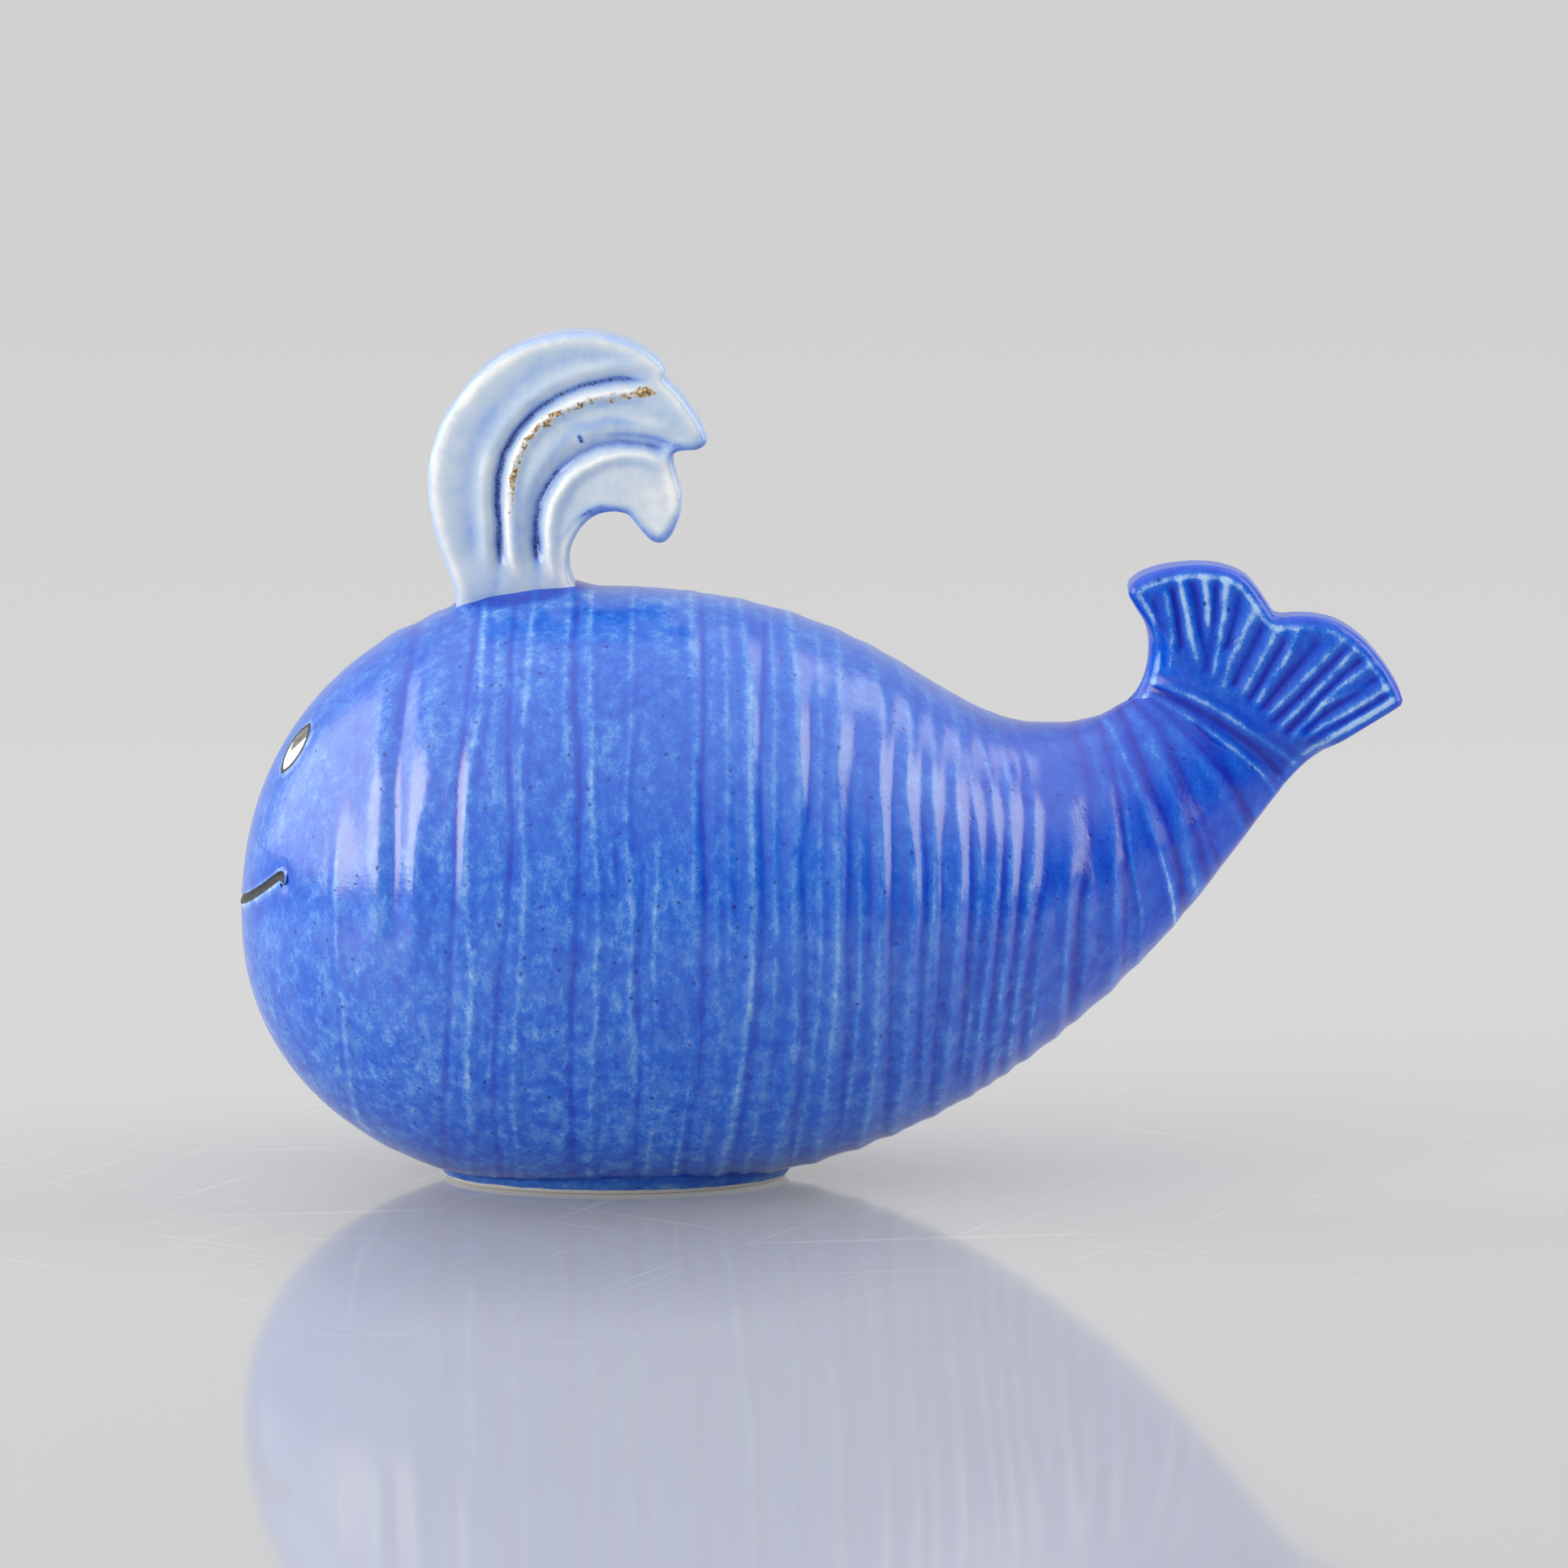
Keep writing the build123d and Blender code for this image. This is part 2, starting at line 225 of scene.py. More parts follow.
def dress(piece, materials, slot, *nodes):
    for material in materials:
        piece.data.materials.append(material)
    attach(piece, "root")
    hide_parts(*nodes)


def grid_faces(rows, columns, closed=True):
    """Faces of a grid whose points run along each row in turn."""
    faces = []
    last = columns if closed else columns - 1
    for row in range(rows - 1):
        for column in range(last):
            following = (column + 1) % columns
            a = row * columns + column
            b = row * columns + following
            faces.append((a, b, b + columns, a + columns))
    return faces


# Carved lines, in the photograph's pixels: lift in millimetres, tint, half width, points
DRAWN_LINES = [
    (0.22, 0.75, 5, [(424, 1010), (420, 1081), (421, 1150), (427, 1230), (431, 1275), (434, 1310),
        (438, 1350), (446, 1378), (462, 1401), (490, 1430)]),
    (-0.1, -0.5, 5, [(424, 1120), (426, 1200), (424, 1250), (427, 1310), (430, 1350)]),
    (0.5, 0.2, 14, [(488, 790), (480, 850), (470, 920), (465, 980), (468, 1040), (468, 1110),
        (470, 1180)]),
    (-0.45, -0.5, 10, [(508, 810), (500, 860), (496, 920), (495, 980), (495, 1040), (494, 1100),
        (492, 1150)]),
    (0.5, 0.2, 15, [(538, 770), (536, 850), (535, 900), (532, 960), (524, 1010), (518, 1060),
        (516, 1110), (518, 1180)]),
    (0.18, 0.75, 7, [(600, 740), (598, 800), (597, 850), (592, 900), (584, 940), (580, 1000),
        (581, 1060), (579, 1110), (584, 1160), (588, 1200), (585, 1240), (581, 1290), (581, 1340),
        (585, 1375), (580, 1410), (578, 1460)]),
    (-0.16, -0.75, 6, [(590, 770), (580, 850), (577, 900), (573, 950), (570, 1000), (567, 1060),
        (565, 1110), (561, 1160), (560, 1210), (558, 1260), (554, 1310), (550, 1360), (550, 1450)]),
    (0.1, 0.35, 6, [(614, 760), (617, 800), (616, 850), (612, 900), (614, 950), (616, 1000)]),
    (0.12, 0.7, 6, [(662, 730), (655, 790), (654, 850), (648, 900), (645, 950), (648, 1000),
        (652, 1050), (651, 1110), (648, 1160), (643, 1220), (637, 1290), (634, 1350), (638, 1400),
        (640, 1460)]),
    (-0.16, -0.85, 6, [(636, 760), (632, 810), (632, 860), (631, 910), (633, 970), (636, 1020),
        (635, 1060), (631, 1110), (627, 1160), (619, 1210), (616, 1260), (613, 1310), (612, 1370),
        (618, 1440)]),
    (-0.06, -0.5, 3, [(606, 1210), (606, 1260), (604, 1310)]),
    (0.16, 0.5, 6, [(704, 740), (701, 800), (700, 850), (700, 910), (703, 960)]),
    (-0.22, -0.85, 7, [(712, 735), (711, 800), (711, 850), (715, 900), (718, 960), (717, 1030),
        (717, 1090), (713, 1150), (710, 1200), (707, 1260), (706, 1330), (707, 1400), (709, 1460)]),
    (0.26, 0.7, 6, [(730, 730), (728, 800), (731, 860), (733, 910), (732, 970), (735, 1030),
        (741, 1090), (741, 1150), (736, 1190), (739, 1250), (732, 1290), (730, 1350), (729, 1400),
        (727, 1460)]),
    (0.2, 0.55, 5, [(781, 735), (779, 800), (779, 850), (781, 900), (775, 960), (774, 1000),
        (777, 1060), (782, 1120), (781, 1170), (778, 1230), (782, 1300)]),
    (-0.1, -0.6, 5, [(762, 1030), (763, 1070), (765, 1115)]),
    (-0.16, -0.6, 6, [(791, 1040), (795, 1080), (794, 1130), (789, 1180), (790, 1250), (791, 1320),
        (788, 1370), (785, 1410), (780, 1460)]),
    (0.14, 0.55, 5, [(813, 1020), (813, 1080), (809, 1130), (808, 1200), (812, 1260)]),
    (0.14, 0.5, 5, [(808, 1370), (802, 1400), (797, 1440), (790, 1470)]),
    (0.3, 0.5, 7, [(851, 730), (853, 800), (857, 850), (860, 900), (858, 950), (857, 1010), (858, 1070),
        (853, 1130)]),
    (-0.2, -0.7, 7, [(866, 760), (868, 850), (868, 910), (866, 970), (868, 1030), (871, 1090),
        (869, 1150), (868, 1210), (866, 1280), (862, 1330), (855, 1370), (849, 1400), (843, 1460)]),
    (0.16, 0.75, 4, [(852, 1320), (847, 1355), (842, 1385), (836, 1415), (828, 1470)]),
    (0.1, 0.4, 6, [(884, 1080), (886, 1150), (884, 1210), (888, 1270), (882, 1330), (872, 1390)]),
    (0.36, 0.7, 8, [(908, 735), (915, 770), (921, 810), (925, 860), (926, 900), (925, 950), (926, 1000),
        (928, 1050), (928, 1110), (928, 1160), (926, 1210), (923, 1245), (918, 1285), (911, 1330),
        (903, 1375), (894, 1412), (878, 1470)]),
    (0.1, 0.4, 5, [(893, 750), (896, 850), (897, 950), (898, 1060), (900, 1160), (898, 1230)]),
    (0.1, 0.4, 5, [(950, 780), (955, 880), (954, 970), (955, 1080), (957, 1180), (952, 1260),
        (938, 1350), (922, 1430)]),
    (-0.16, -0.5, 7, [(942, 800), (940, 860), (938, 910), (936, 960), (938, 1020), (940, 1090),
        (938, 1160), (932, 1240), (926, 1290), (918, 1350), (906, 1420)]),
    (0.34, 0.5, 8, [(969, 745), (975, 780), (980, 830), (982, 880), (983, 930), (985, 980), (982, 1040),
        (976, 1100), (978, 1180), (980, 1250), (976, 1310), (970, 1350), (960, 1395), (944, 1460)]),
    (-0.16, -0.55, 6, [(1000, 830), (998, 900), (997, 950), (996, 1000), (986, 1050), (988, 1110),
        (992, 1180), (990, 1280), (980, 1370)]),
    (0.38, 0.55, 8, [(1028, 770), (1033, 800), (1034, 860), (1030, 910), (1027, 950), (1029, 1000),
        (1031, 1050), (1031, 1110), (1031, 1170), (1028, 1230), (1022, 1290), (1016, 1350),
        (1004, 1430)]),
    (0.1, 0.4, 5, [(1008, 810), (1012, 900), (1011, 980), (1009, 1060), (1011, 1160), (1006, 1260),
        (994, 1350), (978, 1430)]),
    (0.1, 0.4, 5, [(1058, 1010), (1058, 1080), (1059, 1160), (1057, 1240), (1050, 1320), (1036, 1400)]),
    (-0.22, -0.6, 7, [(1054, 850), (1053, 920), (1047, 980), (1045, 1040), (1044, 1100), (1043, 1160),
        (1046, 1240), (1040, 1320)]),
    (-0.14, -0.45, 5, [(1064, 930), (1069, 1000), (1072, 1060), (1071, 1120), (1068, 1180)]),
    (0.4, 0.6, 8, [(1068, 790), (1079, 830), (1087, 870), (1082, 930), (1080, 980), (1083, 1030),
        (1085, 1080), (1083, 1130), (1080, 1190), (1078, 1250), (1077, 1300), (1073, 1340),
        (1067, 1375), (1058, 1420)]),
    (-0.22, -0.6, 6, [(1100, 880), (1099, 960), (1097, 1030), (1096, 1090), (1096, 1150), (1096, 1240),
        (1094, 1320)]),
    (0.38, 0.55, 7, [(1105, 815), (1116, 850), (1121, 900), (1115, 950), (1114, 990), (1119, 1030),
        (1123, 1070), (1124, 1110), (1121, 1150), (1118, 1200), (1116, 1250), (1113, 1300),
        (1108, 1350), (1100, 1395)]),
    (-0.2, -0.6, 6, [(1134, 900), (1133, 980), (1137, 1030), (1140, 1070), (1139, 1130), (1134, 1200),
        (1131, 1300)]),
    (0.24, 0.5, 6, [(1138, 840), (1146, 880), (1147, 940), (1147, 1000), (1149, 1060), (1148, 1110),
        (1145, 1160), (1141, 1210), (1138, 1270), (1134, 1330), (1128, 1370)]),
    (-0.2, -0.55, 5, [(1161, 930), (1159, 1000), (1157, 1060), (1158, 1110), (1157, 1180),
        (1151, 1280)]),
    (0.36, 0.6, 6, [(1162, 850), (1172, 870), (1179, 900), (1177, 950), (1178, 1000), (1179, 1050),
        (1178, 1100), (1176, 1150), (1172, 1200), (1169, 1250), (1163, 1300), (1157, 1345),
        (1150, 1375)]),
    (-0.2, -0.6, 5, [(1190, 960), (1194, 1030), (1196, 1080), (1193, 1140), (1188, 1220),
        (1182, 1300)]),
    (0.24, 0.5, 5, [(1178, 855), (1188, 900), (1194, 960), (1200, 1010), (1204, 1060), (1204, 1100),
        (1200, 1160), (1195, 1220), (1188, 1290), (1180, 1340)]),
    (0.36, 0.6, 6, [(1190, 865), (1204, 905), (1216, 950), (1223, 985), (1226, 1030), (1225, 1070),
        (1221, 1110), (1216, 1160), (1211, 1210), (1206, 1255), (1201, 1300), (1196, 1350)]),
    (-0.18, -0.6, 5, [(1224, 935), (1231, 990), (1234, 1040), (1232, 1100), (1227, 1160), (1221, 1220),
        (1214, 1290)]),
    (0.34, 0.6, 6, [(1212, 870), (1228, 905), (1237, 950), (1242, 1000), (1243, 1050), (1241, 1100),
        (1237, 1150), (1232, 1200), (1226, 1255), (1220, 1310)]),
    (-0.2, -0.6, 6, [(1258, 935), (1258, 1000), (1256, 1060), (1251, 1120), (1246, 1180),
        (1240, 1240)]),
    (0.32, 0.65, 5, [(1240, 878), (1256, 910), (1267, 950), (1272, 1000), (1271, 1040), (1267, 1080),
        (1262, 1120), (1257, 1160), (1252, 1205), (1247, 1255), (1240, 1310)]),
    (-0.2, -0.5, 6, [(1290, 1010), (1289, 1060), (1283, 1100), (1268, 1150), (1262, 1210),
        (1258, 1270)]),
    (0.22, 0.55, 5, [(1288, 1090), (1283, 1125), (1280, 1155), (1275, 1190), (1271, 1230),
        (1266, 1290)]),
    (0.42, 0.25, 13, [(1276, 880), (1296, 915), (1308, 950), (1314, 1000), (1314, 1050), (1312, 1090)]),
    (0.22, 0.5, 5, [(1318, 1060), (1315, 1100), (1312, 1140), (1310, 1185), (1306, 1240),
        (1300, 1290)]),
    (-0.34, -0.75, 9, [(1320, 890), (1334, 940), (1340, 980), (1341, 1030), (1336, 1075), (1326, 1120),
        (1322, 1180)]),
    (0.2, 0.45, 5, [(1341, 1060), (1338, 1110), (1336, 1160), (1331, 1220), (1326, 1260)]),
    (0.38, 0.45, 8, [(1330, 885), (1346, 930), (1358, 975), (1365, 1015), (1369, 1055), (1371, 1100),
        (1371, 1150), (1368, 1210)]),
    (-0.26, -0.7, 6, [(1358, 910), (1368, 950), (1376, 990), (1382, 1040), (1384, 1090), (1384, 1150)]),
    (0.2, 0.5, 4, [(1372, 930), (1382, 975), (1386, 1020), (1392, 1060), (1399, 1095), (1404, 1125),
        (1404, 1165)]),
    (0.34, 0.65, 6, [(1352, 880), (1368, 897), (1377, 920), (1387, 943), (1397, 965), (1405, 990),
        (1414, 1015), (1425, 1045), (1434, 1075), (1441, 1100), (1446, 1130)]),
    (-0.3, -0.75, 8, [(1384, 885), (1398, 920), (1412, 955), (1422, 985), (1436, 1020), (1448, 1060),
        (1455, 1100)]),
    (0.26, 0.35, 9, [(1378, 872), (1402, 888), (1418, 918), (1432, 950), (1442, 978), (1453, 1010),
        (1462, 1050)]),
    (-0.3, -0.7, 9, [(1400, 868), (1424, 893), (1442, 925), (1456, 955), (1466, 980), (1484, 1020),
        (1496, 1050)]),
    (0.2, 0.4, 6, [(1462, 985), (1472, 1010), (1481, 1035), (1488, 1062)]),
    (0.24, 0.35, 9, [(1412, 866), (1442, 898), (1468, 928), (1489, 957), (1506, 985), (1522, 1006)]),
    (-0.28, -0.7, 7, [(1424, 868), (1456, 900), (1484, 928), (1508, 955), (1524, 978), (1536, 1000)]),
    (0.3, 0.7, 5, [(1424, 862), (1455, 880), (1476, 893), (1500, 910), (1525, 928), (1548, 948),
        (1568, 972)]),
    (-0.3, -0.75, 7, [(1440, 858), (1470, 873), (1500, 891), (1530, 911), (1556, 931), (1578, 955)]),
    (0.0, -0.8, 12, [(1384, 895), (1399, 937), (1416, 985)]),
    (0.0, -0.8, 11, [(1430, 905), (1449, 955), (1462, 995)]),
    (0.0, -0.8, 13, [(1466, 886), (1506, 942), (1529, 993)]),
    (0.34, 0.6, 6, [(1420, 842), (1440, 848), (1462, 857), (1486, 868), (1512, 883), (1541, 903),
        (1566, 919), (1596, 942)]),
]

# A line that starts or ends this near the body's outline, in pixels, is carried on past it
NEAR_TOP = 50
RUN_PAST_TOP = 70
NEAR_BELLY = 110
RUN_PAST_BELLY = 110


def run_on(points):
    """A line carried past the body's outline where it ends beside it."""
    points = [np.array(point, float) for point in points]
    sections = [section(station) for station in np.linspace(-0.98, 0.999, 200)]
    tops = photo_place(np.array([top for top, bottom, width in sections]))
    lows = photo_place(np.array([bottom for top, bottom, width in sections]))
    if np.min(np.linalg.norm(tops - points[0], axis=1)) < NEAR_TOP:
        step = points[0] - points[1]
        points.insert(0, points[0] + step * RUN_PAST_TOP / np.linalg.norm(step))
    if np.min(np.linalg.norm(lows - points[-1], axis=1)) < NEAR_BELLY:
        step = points[-1] - points[-2]
        points.append(points[-1] + step * RUN_PAST_BELLY / np.linalg.norm(step))
    return points


# The pixels over which the head turns into the flank, and the flank into the tail
FLANK = (880, 1000)
TAIL = (1330, 1410)
TAIL_TINT = (1330, 1420)
GROOVE_LIFT = 0.7  # how much shallower the grooves behind the head are
# A line's height and tint on the head, as shares of the drawn ones, and what flank and tail add to them
LIFT_SHARES = (0.5, 0.35, -0.5)
RIB_TINT_SHARES = (0.75, 0.15, 0.35)
GROOVE_TINT_SHARES = (1.0, 0.0, 0.8)


def weight(shares, middle, tail_span):
    head, flank, tail = shares
    return head + flank * smooth_step(*FLANK, middle) + tail * smooth_step(*tail_span, middle)


def weighed(line):
    """A line of the body at its full length, fainter on the head and softer on the tail."""
    lift, tint, width, points = line
    middle = np.mean([x for x, y in points])
    lift *= weight(LIFT_SHARES, middle, TAIL)
    if lift < 0 and middle > FLANK[1]:
        lift *= GROOVE_LIFT
    tint *= weight(RIB_TINT_SHARES if tint > 0 else GROOVE_TINT_SHARES, middle, TAIL_TINT)
    return lift, tint, width, run_on(points)


BODY_LINES = [weighed(line) for line in DRAWN_LINES]
FLUKE_FROM = 1440  # lines that run past this pixel go on over the fluke
TAIL_LINES = [line for line in BODY_LINES if np.max(np.array(line[3])[:, 0]) > FLUKE_FROM]

# Lines that only tint the glaze: along the seat of the plume
SEAT_LINES = [
    (0.0, -1.7, 7, [(556, 748), (600, 746), (640, 742), (680, 735), (712, 727), (738, 722)]),
]

# The mouth, in the side view: x and z in millimetres
MOUTH_CORNER = (-45.4, 45.3)
MOUTH_FRONT = (-51.6, 39.3)
MOUTH_TICK = (-44.9, 44.1)


def oval_gap(points):
    """How far outside the foot's oval a point lies, seen from above."""
    reach = np.hypot(points[..., 0] / (FOOT_LENGTH / 2), points[..., 1] / (FOOT_WIDTH / 2))
    return (reach - 1) * (FOOT_LENGTH + FOOT_WIDTH) / 4


# The fillet of glaze round the seat of the plume
MOUND_LEFT = -20.6
MOUND_RIGHT = -5.4
MOUND_HALF_WIDTH = 3.2
MOUND_HEIGHT = 0.9
MOUND_REACH = 1.6
UPPER_HALF = 60  # the height above which it can be


def plume_mound(points):
    """How far that fillet rises above the smooth body."""
    past_left = np.maximum(0, MOUND_LEFT - points[..., 0])
    past_right = np.maximum(0, points[..., 0] - MOUND_RIGHT)
    beside = np.maximum(0, np.abs(points[..., 1]) - MOUND_HALF_WIDTH)
    gap = np.sqrt(past_left ** 2 + past_right ** 2 + beside ** 2)
    return np.where(points[..., 2] > UPPER_HALF, MOUND_HEIGHT * np.exp(-(gap / MOUND_REACH) ** 2), 0)


BODY_COLUMNS = 124
HEAD_ROWS = 240
REAR_ROWS = 541
NOSE_GAP = 0.012  # the first row's distance from the nose, which is closed by a fan
NOSE_CROWDING = 1.15


def body_grid():
    """The smooth body as a grid of points, and its outward normals."""
    head = -1 + np.linspace(NOSE_GAP, 1, HEAD_ROWS) ** NOSE_CROWDING
    stations = np.concatenate([head, np.linspace(0, 1, REAR_ROWS)[1:]])
    around = np.linspace(0, 2 * pi, BODY_COLUMNS, endpoint=False)
    rows = []
    for station in stations:
        top, bottom, half_width = section(station)
        ring = (top + bottom) / 2 + np.outer(np.cos(around), (top - bottom) / 2)
        ring[:, 1] -= half_width * np.sin(around)
        rows.append(ring)
    grid = np.array(rows)
    along = np.gradient(grid, axis=0)
    across = (np.roll(grid, -1, axis=1) - np.roll(grid, 1, axis=1)) / 2
    return grid, unit(np.cross(across, along))


RIB_BREADTH = 1.3
# Where the ribs are lower: on the crown and the belly, by how high on its ring a point lies, from 1 to -1,
# and by pixels on the flank, where the lamps mirror and where the ribs crowd together
CROWN_SPAN = (0.75, 0.97)
BELLY_SPAN = (-0.7, -0.95)
SHEEN_ACROSS = (960, 1060)
SHEEN_DOWN = (1100, 960)
CROWDED_ACROSS = (1090, 1150)
CROWDED_DOWN = (1140, 1040)
LOWER_ON_CROWN = 0.42
LOWER_ON_BELLY = 0.3
LOWER_IN_SHEEN = 0.4
LOWER_IN_CROWD = 0.4
PALER_IN_SHEEN = 0.5
NOSE_BEFORE = -40
MOUTH_HOLLOW = 0.4
MOUTH_HOLLOW_REACH = 0.75
# Darker bands of glaze above the mouth and round the foot: strength, distance, width
MOUTH_SHADE = (0.28, 1.6, 1.2)
FOOT_SHADE = (0.8, 0.25, 0.4)
NEAR_FOOT = 6
UNDER_FOOT = 0.7  # the lowest point of the body outside the foot ring, and inside it
INSIDE_FOOT = 2.3
END_RING = 0.93  # the size of the last ring, inside the end of the tail, that a fan closes


def band(gap, strength, distance, width):
    return strength * np.exp(-((gap - distance) / width) ** 2)


def body_relief(grid):
    """Height and tint of the glazed skin over the smooth body."""
    places = photo_place(grid)
    lift, tint = carving(places, BODY_LINES + SEAT_LINES, RIB_BREADTH)
    rise = np.cos(np.linspace(0, 2 * pi, grid.shape[1], endpoint=False))
    crown = smooth_step(*CROWN_SPAN, rise)
    belly = smooth_step(*BELLY_SPAN, rise)
    across, down = places[..., 0], places[..., 1]
    sheen = smooth_step(*SHEEN_ACROSS, across) * smooth_step(*SHEEN_DOWN, down)
    crowded = smooth_step(*CROWDED_ACROSS, across) * smooth_step(*CROWDED_DOWN, down)
    lift = lift * (1 - LOWER_ON_CROWN * crown - LOWER_ON_BELLY * belly)
    lift = lift * (1 - LOWER_IN_SHEEN * sheen) * (1 - LOWER_IN_CROWD * crowded)
    tint = tint * (1 - PALER_IN_SHEEN * sheen)
    side = np.stack([grid[..., 0], grid[..., 2]], axis=-1)
    mouth_gap = line_distance(side, [MOUTH_FRONT, MOUTH_CORNER, MOUTH_TICK])[0]
    near_nose = grid[..., 0] < NOSE_BEFORE
    hollow = MOUTH_HOLLOW * np.exp(-(mouth_gap / MOUTH_HOLLOW_REACH) ** 2)
    lift = lift - np.where(near_nose, hollow, 0)
    above_mouth = (grid[..., 2] > NOSE_HEIGHT) & near_nose
    tint = tint - np.where(above_mouth, band(mouth_gap, *MOUTH_SHADE), 0)
    near_foot = grid[..., 2] < NEAR_FOOT
    tint = tint - np.where(near_foot, band(oval_gap(grid), *FOOT_SHADE), 0)
    return lift + plume_mound(grid), tint


def body_piece(material):
    """The glazed body; returns the smooth skin under it, for what is laid on that."""
    grid, normals = body_grid()
    rows, columns = grid.shape[:2]
    lift, tint = body_relief(grid)
    shown = grid + normals * lift[..., None]
    low = np.where(oval_gap(grid) < -FOOT_WALL / 2, INSIDE_FOOT, UNDER_FOOT)
    shown[..., 2] = np.maximum(shown[..., 2], low)
    end = shown[-1].mean(axis=0)
    rim = end + (shown[-1] - end) * END_RING
    nose = [CROWN_X - HEAD_LENGTH, 0, NOSE_HEIGHT]
    points = np.concatenate([shown.reshape(-1, 3), rim, [nose], [end]])
    tints = np.concatenate([tint.ravel(), tint[-1], [0, 0]])
    faces = grid_faces(rows + 1, columns)
    nose_index = len(points) - 2
    for column in range(columns):
        following = (column + 1) % columns
        faces.append((nose_index, following, column))
        faces.append((rows * columns + column, rows * columns + following, nose_index + 1))
    faces = [face[::-1] for face in faces]
    piece = make_mesh("glazed_body", points, faces, {"tint": tints})
    dress(piece, [material], "blue_glaze", "body_shell")
    smooth_points = [tuple(point) for point in grid.reshape(-1, 3)]
    return BVHTree.FromPolygons(smooth_points, grid_faces(rows, columns))


# Plates: the plume and the fluke

def resample(loop, spacing):
    """Points at even steps round a closed loop."""
    closed = np.vstack([loop, loop[:1]])
    lengths = np.concatenate([[0], np.cumsum(np.linalg.norm(np.diff(closed, axis=0), axis=1))])
    count = int(lengths[-1] / spacing)
    marks = np.linspace(0, lengths[-1], count, endpoint=False)
    return np.stack([np.interp(marks, lengths, closed[:, axis]) for axis in (0, 1)], axis=1)


def within(points, loop):
    """Which points lie inside a closed loop."""
    inside = np.zeros(len(points), bool)
    for a, b in zip(loop, np.roll(loop, -1, axis=0)):
        crosses = (a[1] > points[:, 1]) != (b[1] > points[:, 1])
        if b[1] != a[1]:
            at = a[0] + (points[:, 1] - a[1]) * (b[0] - a[0]) / (b[1] - a[1])
            inside ^= crosses & (points[:, 0] < at)
    return inside


EDGE_RINGS = (0.1, 0.26, 0.48, 0.76, 1.1, 1.5, 1.9)  # rows of points along the edge, by distance from it
RING_SLACK = 0.96
INNER_FROM = 2.15  # where the even grid inside starts
INNER_SPACING = 1.15
ROW_SPACING = 0.866


def plate_sheet(outline, spacing):
    """Points and triangles that fill an outline, closest together along its edge, each point's distance
    from that edge, and the points along it."""
    loop = resample(outline, spacing)
    area = np.sum(loop[:, 0] * np.roll(loop[:, 1], -1) - np.roll(loop[:, 0], -1) * loop[:, 1])
    if area < 0:
        loop = loop[::-1]
    inward = to_the_left(np.roll(loop, -1, axis=0) - np.roll(loop, 1, axis=0))
    closed = np.vstack([loop, loop[:1]])
    groups = [loop]
    for depth in EDGE_RINGS:
        ring = loop + inward * depth
        keep = (line_distance(ring, closed)[0] > RING_SLACK * depth) & within(ring, loop)
        groups.append(ring[keep])
    low, high = loop.min(axis=0), loop.max(axis=0)
    step = spacing * INNER_SPACING
    xs = np.arange(low[0], high[0], step)
    ys = np.arange(low[1], high[1], step * ROW_SPACING)
    inner = np.array([(x + (row % 2) * step / 2, y) for row, y in enumerate(ys) for x in xs])
    inner = inner[within(inner, loop)]
    groups.append(inner[line_distance(inner, closed)[0] > INNER_FROM])
    points = np.concatenate(groups)
    count = len(loop)
    edges = [(i, (i + 1) % count) for i in range(count)]
    found = delaunay_2d_cdt([Vector(point) for point in points], edges, [], 1, 1e-6)
    places = np.array([tuple(point) for point in found[0]])
    gap = line_distance(places, closed)[0]
    rim = [None] * count
    for new, olds in enumerate(found[3]):
        for old in olds:
            if old < count:
                rim[old] = new
    return places, [tuple(face) for face in found[2]], gap, rim


CURVE_STEPS = 8


def smooth_line(points):
    """A smooth curve through points, a cubic between each two."""
    points = np.asarray(points, float)
    padded = np.vstack([2 * points[0] - points[1], points, 2 * points[-1] - points[-2]])
    out = []
    for a, b, c, d in zip(padded, padded[1:], padded[2:], padded[3:]):
        for share in np.arange(CURVE_STEPS) / CURVE_STEPS:
            bend = 2 * a - 5 * b + 4 * c - d + share * (3 * (b - c) + d - a)
            out.append(b + 0.5 * share * (c - a + share * bend))
    out.append(points[-1])
    return np.array(out)


def drawn_outline(pixels, reach):
    """An outline seen in the photograph, as x and z in the mid-plane of a plate that reaches this far to
    each side."""
    line = smooth_line(pixels)
    flat = (line - ORIGIN_PIXEL) * [PIXEL, -PIXEL]
    outward = to_the_left(np.gradient(flat, axis=0))
    flat = flat - outward * (np.abs(outward[:, 1]) * reach * sin(VIEW_ELEVATION))[:, None]
    flat[:, 1] /= cos(VIEW_ELEVATION)
    return flat


WALL_ROWS = 5


